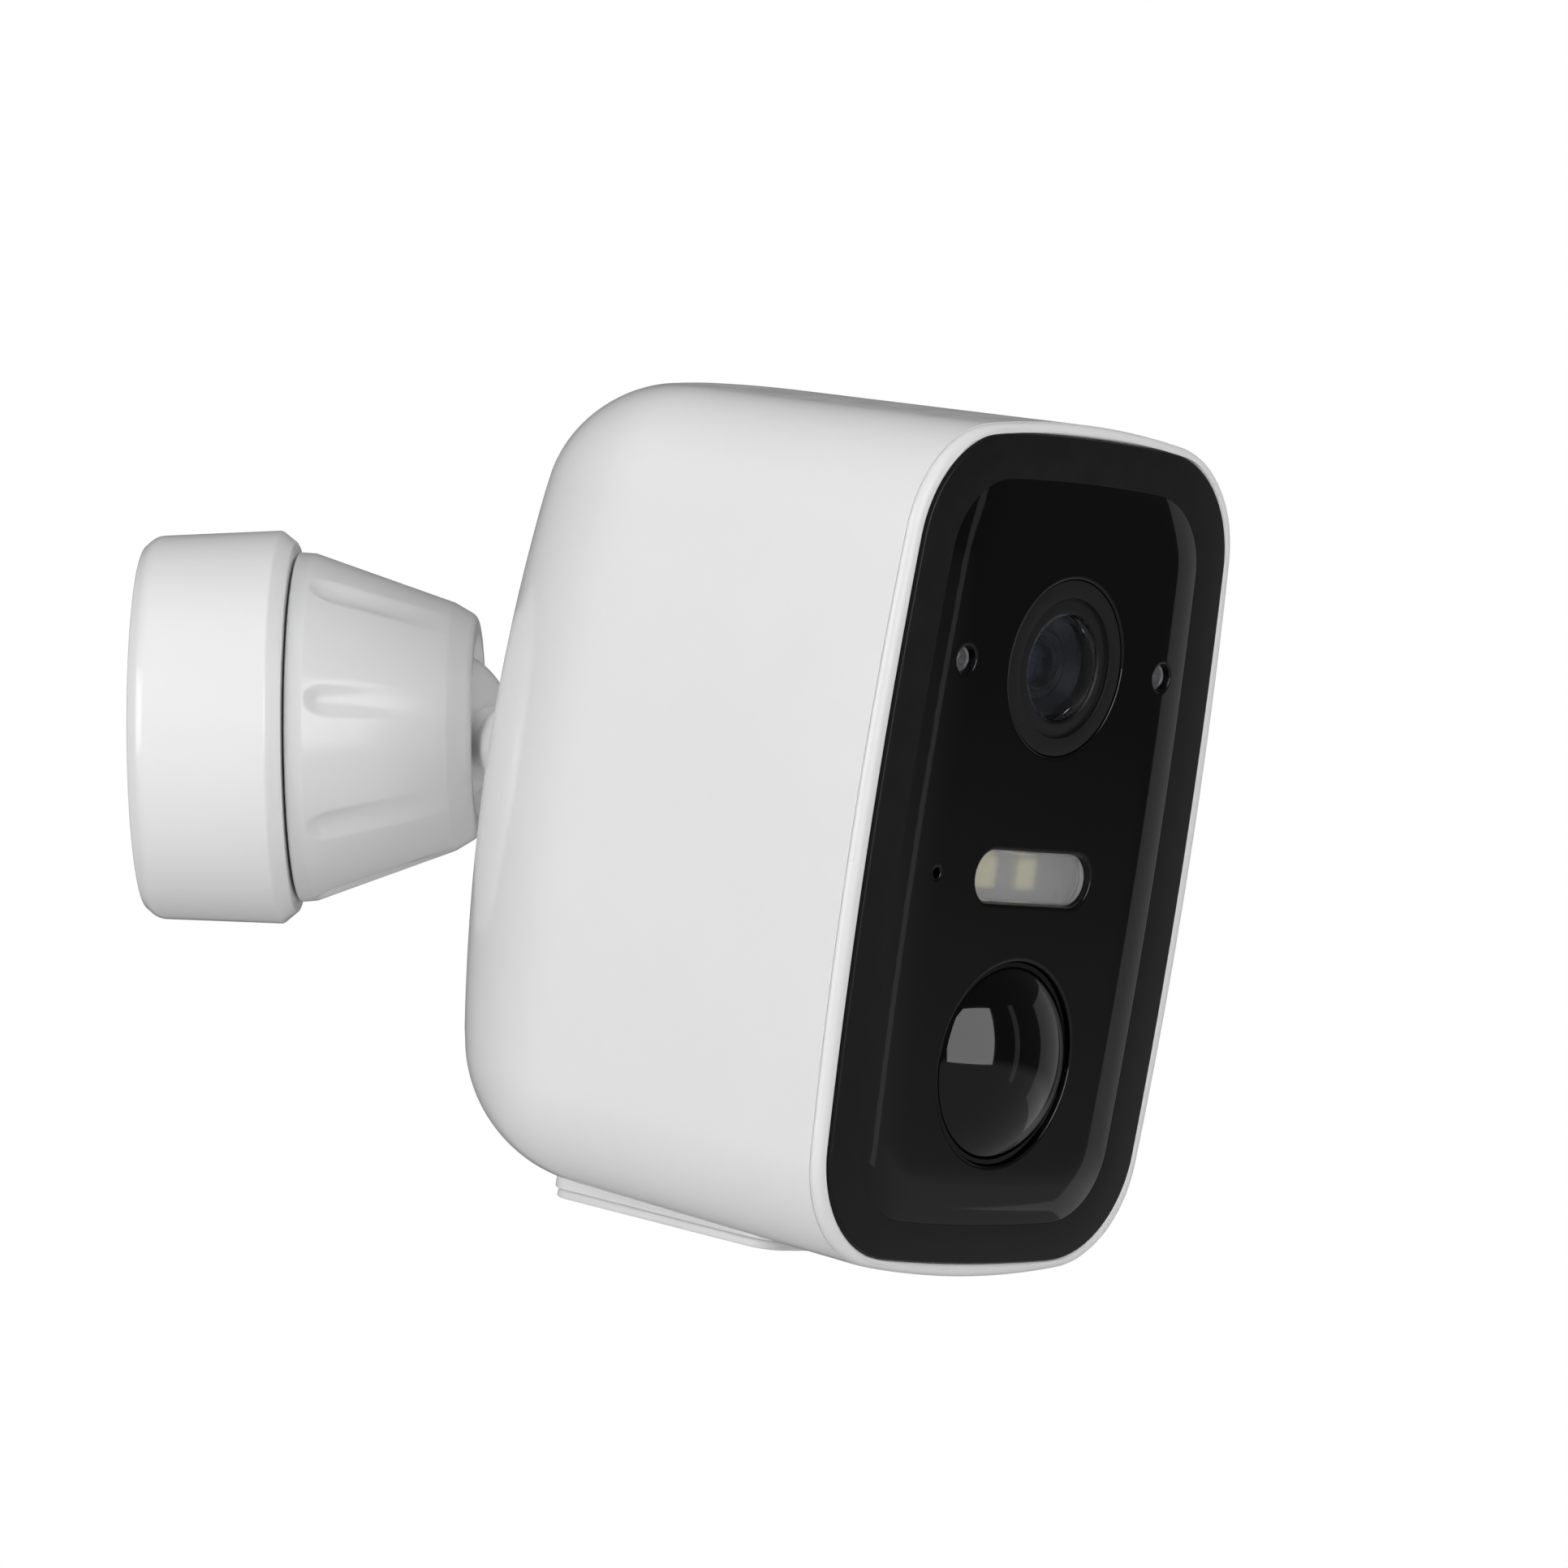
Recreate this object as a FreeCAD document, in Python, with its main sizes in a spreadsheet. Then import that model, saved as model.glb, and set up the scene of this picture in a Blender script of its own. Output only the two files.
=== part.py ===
"""Battery security camera on a ball-jointed wall bracket.

The wall is the plane y = 0, the bracket's axis is -Y through the origin and +Z is up.
The bracket is drawn along its own z axis, which is the distance from the wall.
The camera head is drawn square in its own frame, x across, y backwards from the front
face and z up, and its frame is then turned about the centre of the ball.
"""
import FreeCAD, Part
import math
import os
import re
import Sketcher
from FreeCAD import Placement, Rotation, Vector

doc = FreeCAD.newDocument("security_camera")
sheet = doc.addObject("Spreadsheet::Sheet", "sizes")

SIZES = {
    # bracket, distances counted from the wall
    "cover_back_radius": 22.4,
    "cover_front_radius": 23.0,
    "cover_depth": 17.7,
    "cover_rounding": 1.6,
    "cover_wall": 2.2,
    "cover_hole_radius": 15.7,
    "plate_radius": 20.0,
    "plate_thickness": 3.2,
    "screw_circle_radius": 16.8,
    "screw_hole_radius": 2.1,
    "screw_head_radius": 3.1,
    "screw_head_depth": 1.4,
    "screw_count": 3,
    "spigot_radius": 14.2,
    "spigot_shoulder": 27.4,
    "spigot_end": 30.4,
    "spigot_end_radius": 12.2,
    "spigot_bore_radius": 5.0,
    "thread_height": 0.55,
    "thread_pitch": 2.2,
    "thread_start": 19.4,
    "thread_turns": 4,
    "ball_distance": 33.4,
    "ball_radius": 9.47,
    "socket_gap": 0.06,
    "nut_start": 18.2,
    "nut_back_radius": 20.4,
    "nut_cone_start": 19.6,
    "nut_cone_end": 36.1,
    "nut_cone_end_radius": 14.5,
    "nut_front": 38.9,
    "nut_front_radius": 12.9,
    "nut_mouth_radius": 10.9,
    "nut_lip_radius": 8.98,
    "nut_lip_start": 36.6,
    "nut_lip_end": 37.3,
    "nut_bore_radius": 14.9,
    "nut_bore_end": 27.8,
    "flute_count": 8,
    "flute_radius": 1.7,
    "flute_depth": 1.3,
    "flute_first_angle": 174.6,
    "flute_start": 20.5,
    "ring_radius": 11.5,
    "ring_start": 33.3,
    "ring_end": 36.5,
    # head, depths counted back from the front face
    "ball_depth": 91.4,
    "head_turn": -37.5,
    "head_tilt": 11.3,
    "neck_radius": 3.7,
    "neck_flare_radius": 8.0,
    "neck_flare_end": 80.0,
    "flange_radius": 8.5,
    "flange_front": 71.95,
    "flange_back": 73.7,
    "stud_radius": 3.17,
    "stud_front": 64.0,
    "stud_back": 77.0,
    "insert_radius": 4.8,
    "insert_bore_radius": 3.22,
    "insert_front": 62.6,
    "insert_back": 71.7,
    "boss_radius": 9.5,
    "boss_front": 60.0,
    "boss_back": 71.85,
    "body_half_width": 29.85,
    "body_top": 47.4,
    "body_bottom": 47.6,
    "body_front": 2.25,
    "back_start": 42.8,
    "back_bulge": 29.0,
    "body_side_bow": 430.0,
    "body_cap_bow": 135.0,
    "body_corner": 13.3,
    "top_back_corner": 17.6,
    "bottom_back_corner": 19.4,
    "back_bow": 190.0,
    "top_slope": 0.0354,
    "bottom_slope": 0.0289,
    "body_wall": 2.0,
    "panel_half_width": 27.9,
    "panel_height": 46.0,
    "panel_side_bow": 544.0,
    "panel_cap_bow": 253.0,
    "panel_corner": 13.0,
    "panel_face": 0.75,
    "panel_edge_round": 0.5,
    "flange_step": 2.1,
    "seat_depth": 1.75,
    "frame_back": 4.6,
    "bezel_inner_face": 1.0,
    "bezel_back": 6.5,
    "tongue_gap": 0.32,
    "window_half_width": 22.7,
    "window_top": 41.0,
    "window_bottom": 41.6,
    "window_corner": 9.0,
    "window_seat": 3.0,
    "fit_gap": 0.06,
    "lens_height": 20.7,
    "lens_ring_radius": 9.8,
    "lens_step_radius": 7.75,
    "lens_step_floor": 7.45,
    "front_lens_radius": 5.95,
    "front_lens_apex": -0.35,
    "front_lens_dome": 20.0,
    "barrel_radius": 7.5,
    "aperture_radius": 2.3,
    "barrel_back": 17.0,
    "led_offset": 17.45,
    "led_height": 20.65,
    "led_radius": 1.45,
    "spot_height": -2.76,
    "spot_half_length": 10.05,
    "spot_half_height": 2.87,
    "spot_led_offset": 3.5,
    "mic_offset": -17.0,
    "mic_height": -2.7,
    "mic_hole_radius": 0.6,
    "sensor_height": -23.43,
    "sensor_ring_radius": 11.49,
    "sensor_dome_radius": 10.4,
    "sensor_dome_sphere": 14.7,
    "sensor_dome_base": 0.6,
    "front_board_front": 6.2,
    "front_board_thickness": 1.0,
    "main_board_front": 23.0,
    "main_board_thickness": 1.4,
    "cell_radius": 9.1,
    "cell_length": 65.0,
    "cell_spacing": 18.8,
    "cell_depth": 41.0,
    "fit_of_threads": 0.02,
    # screws that hold the front to the shell
    "screw_across": 24.0,
    "screw_up": 33.0,
    "screw_head_front": 7.5,
    "screw_head_back": 9.2,
    "screw_head_side": 2.2,
    "screw_slot_width": 0.6,
    "screw_slot_length": 3.2,
    "screw_slot_depth": 0.8,
    "screw_end": 20.0,
    "screw_shank_radius": 1.2,
    "pilot_radius": 1.25,
    "pilot_front": 10.0,
    "pilot_back": 21.0,
    "case_boss_radius": 3.6,
    "case_boss_front": 10.85,
    "case_boss_back": 22.5,
    # seal and chassis behind the front
    "gasket_front": 6.55,
    "gasket_back": 7.45,
    "gasket_outset": 0.5,
    "gasket_inset": 1.7,
    "chassis_front": 9.25,
    "chassis_back": 10.75,
    "chassis_outset": 0.6,
    "chassis_hole_radius": 1.3,
    "chassis_window_width": 37.0,
    "chassis_window_height": 72.0,
    "chassis_window_middle": 2.0,
    "rail_across": 24.0,
    "rail_width": 3.0,
    "rail_front": 10.6,
    "rail_back": 23.0,
    "rail_height": 52.0,
    # lens and image sensor
    "trim_front": 0.15,
    "trim_step_back": 0.5,
    "barrel_front": 4.7,
    "barrel_nose_front": 2.7,
    "barrel_nose_radius": 5.9,
    "barrel_cone_start": 5.05,
    "barrel_cone_stop": 2.9,
    "barrel_cone_back": 3.9,
    "stop_back": 4.9,
    "barrel_bore_radius": 5.2,
    "front_lens_back": 2.6,
    "inner_lens_front": 5.4,
    "inner_lens_back": 7.9,
    "inner_lens_radius": 5.15,
    "holder_side": 20.0,
    "holder_front": 14.0,
    "holder_seat": 17.6,
    "holder_back": 20.0,
    "holder_room_side": 12.0,
    "sensor_board_side": 22.0,
    "sensor_board_front": 20.1,
    "sensor_board_back": 21.3,
    "sensor_chip_side": 8.0,
    "sensor_chip_front": 19.2,
    # lamps, motion sensor and microphone
    "lamp_tip_depth": 1.8,
    "spot_front": 0.55,
    "spot_back": 3.4,
    "spot_led_side": 3.2,
    "spot_led_front": 5.3,
    "dome_wall": 0.9,
    "dome_rim_width": 1.6,
    "dome_rim_front": 4.65,
    "dome_rim_back": 5.4,
    "can_base_radius": 4.6,
    "can_base_front": 5.6,
    "can_radius": 4.1,
    "can_front": 2.2,
    "can_window_width": 4.0,
    "can_window_height": 3.0,
    "can_window_depth": 0.3,
    "mic_radius": 2.0,
    "mic_front": 4.65,
    # boards
    "front_board_width": 45.0,
    "front_board_height": 76.0,
    "front_board_middle": 1.0,
    "front_board_corner": 7.0,
    "lens_hole_margin": 0.3,
    "main_board_width": 44.0,
    "main_board_height": 73.0,
    "main_board_corner": 3.0,
    "processor_side": 13.0,
    "processor_height": 1.0,
    "memory_width": 9.0,
    "memory_length": 11.0,
    "memory_height": 0.8,
    "radio_width": 16.0,
    "radio_length": 12.0,
    "radio_height": 1.8,
    "coil_side": 6.0,
    "coil_height": 2.6,
    "port_board_width": 22.0,
    "port_board_length": 20.0,
    "port_board_middle": 39.5,
    "port_board_bottom": -39.6,
    "port_board_thickness": 1.0,
    "port_board_corner": 1.5,
    "antenna_width": 30.0,
    "antenna_length": 9.0,
    "antenna_thickness": 0.4,
    "antenna_depth": 18.0,
    "antenna_level": 42.6,
    # cells and speaker
    "cell_nub_radius": 2.7,
    "cell_nub_height": 1.2,
    "tray_width": 38.0,
    "tray_end_level": 34.6,
    "tray_end_middle": 39.5,
    "tray_end_length": 19.0,
    "tray_end_thickness": 1.5,
    "tray_plate_depth": 29.4,
    "tray_plate_thickness": 2.0,
    "tray_plate_height": 70.7,
    "speaker_depth": 15.0,
    "speaker_width": 17.0,
    "speaker_length": 7.6,
    "speaker_level": -42.4,
    "speaker_height": 3.4,
    "speaker_rim_width": 18.4,
    "speaker_rim_length": 8.2,
    "speaker_rim_level": -43.8,
    "speaker_rim_height": 0.6,
    "grille_hole_radius": 0.7,
    "grille_spacing": 4.0,
    "grille_middle": 14.8,
    "grille_line_step": 2.4,
    # port cover under the body
    "cover_half_width": 12.2,
    "cover_front_end": 19.5,
    "cover_back_end": 52.6,
    "cover_underside": -48.25,
    "cover_top": -47.25,
    "cover_corner": 3.0,
    "land_bottom": -47.2,
    "land_top": -43.4,
    "land_margin": 0.6,
    "port_floor": -45.2,
    "well_middle": 37.0,
    "well_width": 20.6,
    "well_length": 27.4,
    "outside_below": -50.0,
    "inside_above": -40.0,
    "usb_depth": 45.0,
    "usb_opening_width": 9.5,
    "usb_opening_length": 3.7,
    "usb_width": 9.0,
    "usb_length": 3.2,
    "usb_level": -42.4,
    "usb_height": 5.6,
    "usb_mouth_width": 8.2,
    "usb_mouth_length": 2.4,
    "usb_mouth_level": -44.2,
    "usb_mouth_height": 5.0,
    "card_depth": 25.5,
    "card_opening_width": 12.4,
    "card_opening_length": 1.6,
    "socket_width": 13.6,
    "socket_length": 2.0,
    "socket_level": -36.0,
    "socket_height": 14.6,
    "slot_width": 11.2,
    "slot_length": 1.0,
    "slot_level": -37.6,
    "slot_height": 15.6,
    "card_width": 10.9,
    "card_thickness": 0.8,
    "card_level": -38.3,
    "card_height": 12.6,
    "reset_depth": 33.0,
    "power_depth": 38.5,
    "button_hole_radius": 1.75,
    "button_radius": 1.6,
    "button_bottom": -46.2,
    "button_collar_bottom": -43.0,
    "button_collar_radius": 2.2,
    "button_collar_top": -42.4,
}

for row, (word, number) in enumerate(SIZES.items(), start=1):
    sheet.set(f"A{row}", word)
    sheet.set(f"B{row}", str(number))
    sheet.setAlias(f"B{row}", word)
doc.recompute()


def size(word):
    """Value of one cell of the sheet."""
    return float(sheet.get(word))


def linked(rule):
    """Rule as an expression that reads the sheet, or a plain number as it is."""
    if not isinstance(rule, str):
        return str(rule)
    return re.sub(r"[a-z]+(_[a-z]+)+", lambda found: "sizes." + found.group(), rule)


def bind(item, path, rule):
    item.setExpression(path, linked(rule))


ALONG = {
    "y": Rotation(Vector(1, 0, 0), -90),
    "z": Rotation(),
}


def locate(item, spot, rotation=Rotation()):
    """Turn the item and tie its place to the sheet."""
    item.Placement = Placement(Vector(), rotation)
    for letter, rule in zip("xyz", spot):
        bind(item, f"Placement.Base.{letter}", rule)


def bar(name, axis, across, start, stop, radius, end_radius=None):
    """Round bar, or a cone where it has an end radius, from start to stop along an axis."""
    item = doc.addObject("Part::Cylinder" if end_radius is None else "Part::Cone", name)
    if end_radius is None:
        bind(item, "Radius", radius)
    else:
        bind(item, "Radius1", radius)
        bind(item, "Radius2", end_radius)
    bind(item, "Height", f"({stop}) - ({start})")
    first, second = across
    spots = {"y": (first, start, second), "z": (first, second, start)}
    locate(item, spots[axis], ALONG[axis])
    return item


def block(name, centre, lengths):
    """Box about its centre."""
    item = doc.addObject("Part::Box", name)
    for side, length in zip(("Length", "Width", "Height"), lengths):
        bind(item, side, length)
    locate(item, [f"({middle}) - ({length}) / 2" for middle, length in zip(centre, lengths)])
    return item


def ball(name, spot, radius):
    item = doc.addObject("Part::Sphere", name)
    bind(item, "Radius", radius)
    locate(item, spot)
    return item


def fuse(name, *shapes):
    item = doc.addObject("Part::MultiFuse", name)
    item.Shapes = list(shapes)
    item.Refine = True
    return item


def cut(name, base, *tools):
    item = doc.addObject("Part::Cut", name)
    item.Base = base
    item.Tool = tools[0] if len(tools) == 1 else fuse(name + "_tools", *tools)
    item.Refine = True
    return item


def group(name, *solids):
    """Separate solids that share one node."""
    item = doc.addObject("Part::Compound", name)
    item.Links = list(solids)
    return item


def solid_feature(name, shape):
    """Solid whose outline follows a formula."""
    item = doc.addObject("Part::Feature", name)
    item.Shape = shape
    return item


def pill_bar(name, height, start, stop, half_length, half_height):
    """Bar of pill-shaped section along y, centred across the face."""
    middle = f"({half_length}) - ({half_height})"
    ends = [
        bar(f"{name}_end_{side}", "y", (f"{side} * ({middle})", height), start, stop, half_height)
        for side in (-1, 1)
    ]
    middle_block = block(
        name + "_middle",
        (0, f"(({start}) + ({stop})) / 2", height),
        (f"2 * ({middle})", f"({stop}) - ({start})", f"2 * ({half_height})"),
    )
    return fuse(name, middle_block, *ends)


WALL_FRAME = Placement(Vector(), Rotation(Vector(1, 0, 0), 90))
BALL_CENTRE = Vector(0, -size("ball_distance"), 0)
HEAD_TURN = Rotation(Vector(0, 0, 1), size("head_turn"))
HEAD_TILT = Rotation(Vector(1, 0, 0), size("head_tilt"))
TO_BALL = Placement(Vector(0, -size("ball_depth"), 0), Rotation())
HEAD_FRAME = Placement(BALL_CENTRE, HEAD_TURN.multiply(HEAD_TILT)).multiply(TO_BALL)

pieces = []


def piece(label, item, frame):
    """Name a finished sub-part and put it in its frame."""
    item.Label = label
    item.Placement = frame
    pieces.append(item)


# --- outlines of the head -----------------------------------------------------------------


def corner_centre(half_width, height, side_bow, cap_bow, corner):
    """Centre of the corner arc that is tangent to a bowed side and a bowed top."""
    side = Vector(half_width - side_bow, 0, 0)
    cap = Vector(0, 0, height - cap_bow)
    near, far = side_bow - corner, cap_bow - corner
    span = cap.sub(side)
    along = (near ** 2 - far ** 2 + span.Length ** 2) / (2 * span.Length)
    away = math.sqrt(near ** 2 - along ** 2)
    step = Vector(span).normalize()
    across = Vector(-step.z, 0, step.x)
    return max((side + step * along + across * way for way in (away, -away)), key=lambda c: c.x)


def quarter(half_width, height, side_bow, cap_bow, corner):
    """Arcs of one quarter of a bowed outline, each as start, middle and end point."""
    side = Vector(half_width - side_bow, 0, 0)
    cap = Vector(0, 0, height - cap_bow)
    centre = corner_centre(half_width, height, side_bow, cap_bow, corner)
    low = centre + (centre - side).normalize() * corner
    high = centre + (centre - cap).normalize() * corner
    between = centre + ((low + high) * 0.5 - centre).normalize() * corner

    def on_arc(middle, radius, first, last):
        return middle + ((first + last) * 0.5 - middle).normalize() * radius

    start = Vector(half_width, 0, 0)
    top = Vector(0, 0, height)
    return [
        (start, on_arc(side, side_bow, start, low), low),
        (low, between, high),
        (high, on_arc(cap, cap_bow, high, top), top),
    ]


def bowed_wire(depth, half_width, top, bottom, side_bow, cap_bow, corner):
    """Closed outline with bowed sides and round corners, square to y."""
    edges = []
    for across, height, up in ((1, top, 1), (-1, top, 1), (-1, bottom, -1), (1, bottom, -1)):
        for points in quarter(half_width, height, side_bow, cap_bow, corner):
            moved = [Vector(p.x * across, depth, p.z * up) for p in points]
            edges.append(Part.Arc(*moved).toShape())
    return Part.Wire(Part.__sortEdges__(edges))


def panel_wire(depth, inset):
    """Outline of the black panel, moved inwards by the inset."""
    return bowed_wire(
        depth,
        size("panel_half_width") - inset,
        size("panel_height") - inset,
        size("panel_height") - inset,
        size("panel_side_bow") - inset,
        size("panel_cap_bow") - inset,
        size("panel_corner") - inset,
    )


def body_wire(depth, inset):
    """Outline of the housing's front edge, moved inwards by the inset."""
    return bowed_wire(
        depth,
        size("body_half_width") - inset,
        size("body_top") - inset,
        size("body_bottom") - inset,
        size("body_side_bow") - inset,
        size("body_cap_bow") - inset,
        size("body_corner") - inset,
    )


def window_wire(depth, inset):
    """Outline of the glossy centre of the front, moved inwards by the inset."""
    return bowed_wire(
        depth,
        size("window_half_width") - inset,
        size("window_top") - inset,
        size("window_bottom") - inset,
        size("panel_side_bow") - inset,
        size("panel_cap_bow") - inset,
        size("window_corner") - inset * 0.5,
    )


def stacked(name, wire_of, steps):
    """Solid through outlines given as pairs of depth and inset."""
    wires = [wire_of(depth, inset) for depth, inset in steps]
    return solid_feature(name, Part.makeLoft(wires, True, True))


def points_of_quarter(arcs, per_arc):
    """Points along the three arcs of a quarter outline."""
    found = []
    for (first, middle, last), count in zip(arcs, per_arc):
        curve = Part.Arc(first, middle, last)
        span = curve.LastParameter - curve.FirstParameter
        steps = [curve.FirstParameter + span * i / count for i in range(count + 1)]
        points = [curve.value(step) for step in steps]
        if points[0].distanceToPoint(first) > 1e-6:
            points.reverse()
        found += points[:-1]
    return found


def reach_at(height, arcs):
    """How far a quarter outline reaches across at one height."""
    ray = Part.makeLine(Vector(0, 0, height), Vector(200, 0, height))
    outline = Part.Wire([Part.Arc(*points).toShape() for points in arcs])
    return outline.distToShape(ray)[1][0][0].x


def housing_loft(name, inset, front):
    """Body that is D-shaped in plan, with bowed sides and rounded top and bottom."""
    half_width = size("body_half_width") - inset
    side_bow = size("body_side_bow") - inset
    cap_bow = size("body_cap_bow") - inset
    corner = size("body_corner") - inset
    bulge = size("back_bulge") - inset
    halves = []
    for up, height_word, corner_word, slope_word in (
        (1, "body_top", "top_back_corner", "top_slope"),
        (-1, "body_bottom", "bottom_back_corner", "bottom_slope"),
    ):
        height = size(height_word) - inset
        face = quarter(half_width, height, side_bow, cap_bow, corner)
        back = quarter(bulge, height, size("back_bow") - inset, cap_bow, size(corner_word) - inset)
        slope = size(slope_word) / height
        levels = points_of_quarter(face, (5, 9, 4))
        sections = []
        for level in levels:
            reach = reach_at(level.z, back)
            sections.append(plan_wire(level.x, reach, up * level.z, up * level.z * slope, front))
        halves.append(sections)
    above, below = halves
    wires = list(reversed(above)) + below[1:]
    return solid_feature(name, Part.makeLoft(wires, True, True))


def plan_wire(half_width, bulge, height, fall, front):
    """D-shaped section of the body, falling towards the back."""
    back_start = size("back_start")
    ramp_start = size("body_front")

    def spot(x, y):
        return Vector(x, y, height - fall * (y - ramp_start))

    turn_points = [
        spot(half_width * math.cos(math.pi * i / 12), back_start + bulge * math.sin(math.pi * i / 12))
        for i in range(13)
    ]
    rearward = spot(0, 1) - spot(0, 0)
    curve = Part.BSplineCurve()
    curve.interpolate(Points=turn_points, InitialTangent=rearward, FinalTangent=rearward * -1)
    left, right = spot(-half_width, front), spot(half_width, front)
    return Part.Wire(
        [
            Part.makeLine(left, right),
            Part.makeLine(right, turn_points[0]),
            curve.toShape(),
            Part.makeLine(turn_points[-1], left),
        ]
    )


# --- plates drawn as sketches -------------------------------------------------------------


def rounded_plate(label, role, middle, lengths, thickness, corner, offset):
    """PartDesign body: a rectangle sketched on an origin plane, padded and rounded."""
    body = doc.addObject("PartDesign::Body", label + "_body")
    plane = next(item for item in body.Origin.OriginFeatures if item.Role == role)
    sketch = body.newObject("Sketcher::SketchObject", label + "_outline")
    sketch.AttachmentSupport = [(plane, "")]
    sketch.MapMode = "FlatFace"
    bind(sketch, "AttachmentOffset.Base.z", offset)
    corners = [Vector(-1, -1, 0), Vector(1, -1, 0), Vector(1, 1, 0), Vector(-1, 1, 0)]
    for first, last in zip(corners, corners[1:] + corners[:1]):
        sketch.addGeometry(Part.LineSegment(first, last), False)
    for line in range(4):
        sketch.addConstraint(Sketcher.Constraint("Coincident", line, 2, (line + 1) % 4, 1))
    for line, way in ((0, "Horizontal"), (2, "Horizontal"), (1, "Vertical"), (3, "Vertical")):
        sketch.addConstraint(Sketcher.Constraint(way, line))
    rules = (
        ("DistanceX", (0, 1, 0, 2), lengths[0]),
        ("DistanceY", (1, 1, 1, 2), lengths[1]),
        ("DistanceX", (0, 1, -1, 1), f"({lengths[0]}) / 2 - ({middle[0]})"),
        ("DistanceY", (0, 1, -1, 1), f"({lengths[1]}) / 2 - ({middle[1]})"),
    )
    for way, ends, rule in rules:
        index = sketch.addConstraint(Sketcher.Constraint(way, *ends, 1.0))
        bind(sketch, f"Constraints[{index}]", rule)
    pad = body.newObject("PartDesign::Pad", label + "_pad")
    pad.Profile = sketch
    bind(pad, "Length", thickness)
    doc.recompute()
    upright = [
        f"Edge{number}"
        for number, edge in enumerate(pad.Shape.Edges, start=1)
        if abs(edge.tangentAt(edge.FirstParameter).dot(pad_normal(role))) > 0.99
    ]
    rounding = body.newObject("PartDesign::Fillet", label + "_corners")
    rounding.Base = (pad, upright)
    bind(rounding, "Radius", corner)
    body.Tip = rounding
    return body


def pad_normal(role):
    return {"XY_Plane": Vector(0, 0, 1), "XZ_Plane": Vector(0, 1, 0)}[role]


# --- bracket ------------------------------------------------------------------------------


def make_wall_plate():
    """Screwed-on plate with the threaded spigot and the seat for the ball."""
    body = doc.addObject("PartDesign::Body", "wall_plate_body")
    plane = next(item for item in body.Origin.OriginFeatures if item.Role == "XY_Plane")
    axis = next(item for item in body.Origin.OriginFeatures if item.Role == "Z_Axis")

    def circle_sketch(name, spot, radius, offset):
        sketch = body.newObject("Sketcher::SketchObject", name)
        sketch.AttachmentSupport = [(plane, "")]
        sketch.MapMode = "FlatFace"
        bind(sketch, "AttachmentOffset.Base.z", offset)
        sketch.addGeometry(Part.Circle(Vector(1, 0, 0), Vector(0, 0, 1), 1), False)
        rules = [("Radius", (0,), radius)]
        if spot == 0:
            sketch.addConstraint(Sketcher.Constraint("Coincident", 0, 3, -1, 1))
        else:
            sketch.addConstraint(Sketcher.Constraint("PointOnObject", 0, 3, -1))
            rules.append(("DistanceX", (-1, 1, 0, 3), spot))
        for way, ends, rule in rules:
            index = sketch.addConstraint(Sketcher.Constraint(way, *ends, 1.0))
            bind(sketch, f"Constraints[{index}]", rule)
        return sketch

    def extruded(kind, name, sketch, length, backwards):
        feature = body.newObject(kind, name)
        feature.Profile = sketch
        bind(feature, "Length", length)
        feature.Reversed = backwards
        return feature

    disc = circle_sketch("disc_outline", 0, "plate_radius", 0)
    extruded("PartDesign::Pad", "disc", disc, "plate_thickness", False)
    doc.recompute()
    hole = circle_sketch("hole_outline", "screw_circle_radius", "screw_hole_radius", 0)
    hole_pocket = extruded("PartDesign::Pocket", "screw_hole", hole, "plate_thickness", True)
    sink_floor = "plate_thickness - screw_head_depth"
    sink = circle_sketch("sink_outline", "screw_circle_radius", "screw_head_radius", sink_floor)
    sink_pocket = extruded("PartDesign::Pocket", "screw_sink", sink, "screw_head_depth", True)
    doc.recompute()
    pattern = body.newObject("PartDesign::PolarPattern", "screw_holes")
    pattern.Originals = [hole_pocket, sink_pocket]
    pattern.Axis = (axis, [""])
    pattern.Angle = 360
    pattern.Occurrences = int(size("screw_count"))
    body.Tip = pattern
    doc.recompute()
    post = bar("spigot_post", "z", (0, 0), "plate_thickness", "spigot_shoulder", "spigot_radius")
    nose = bar(
        "spigot_nose", "z", (0, 0), "spigot_shoulder", "spigot_end", "spigot_radius", "spigot_end_radius"
    )
    threads = []
    for turn in range(int(size("thread_turns"))):
        foot = f"thread_start + {turn} * thread_pitch"
        crest = "spigot_radius + thread_height"
        rise = bar(f"thread_rise_{turn}", "z", (0, 0), foot, foot + " + 0.6", "spigot_radius", crest)
        drop = bar(
            f"thread_drop_{turn}", "z", (0, 0), foot + " + 0.6", foot + " + 1.2", crest, "spigot_radius"
        )
        threads += [rise, drop]
    seat = ball("socket_seat", (0, 0, "ball_distance"), "ball_radius + socket_gap")
    bore = bar(
        "spigot_bore", "z", (0, 0), "plate_thickness + 1", "ball_distance - ball_radius / 2",
        "spigot_bore_radius",
    )
    solid = fuse("wall_plate_solid", body, post, nose, *threads)
    piece("wall_plate", cut("wall_plate_cut", solid, seat, bore), WALL_FRAME)


def make_bracket_base():
    """Round cover over the wall plate, a little wider at the front."""
    back = "cover_rounding"
    front = "cover_depth - cover_rounding"
    outside = fuse(
        "cover_outside",
        bar("cover_rear", "z", (0, 0), 0, back, "cover_back_radius - cover_rounding", "cover_back_radius"),
        bar("cover_side", "z", (0, 0), back, front, "cover_back_radius", "cover_front_radius"),
        bar(
            "cover_face", "z", (0, 0), front, "cover_depth",
            "cover_front_radius", "cover_front_radius - cover_rounding",
        ),
    )
    hollow = bar(
        "cover_hollow", "z", (0, 0), -1, "cover_depth - cover_wall", "plate_radius + fit_gap",
        "cover_front_radius - cover_wall",
    )
    hole = bar("cover_hole", "z", (0, 0), 0, "cover_depth + 1", "cover_hole_radius")
    piece("bracket_base", cut("bracket_base_cut", outside, hollow, hole), WALL_FRAME)


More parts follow.
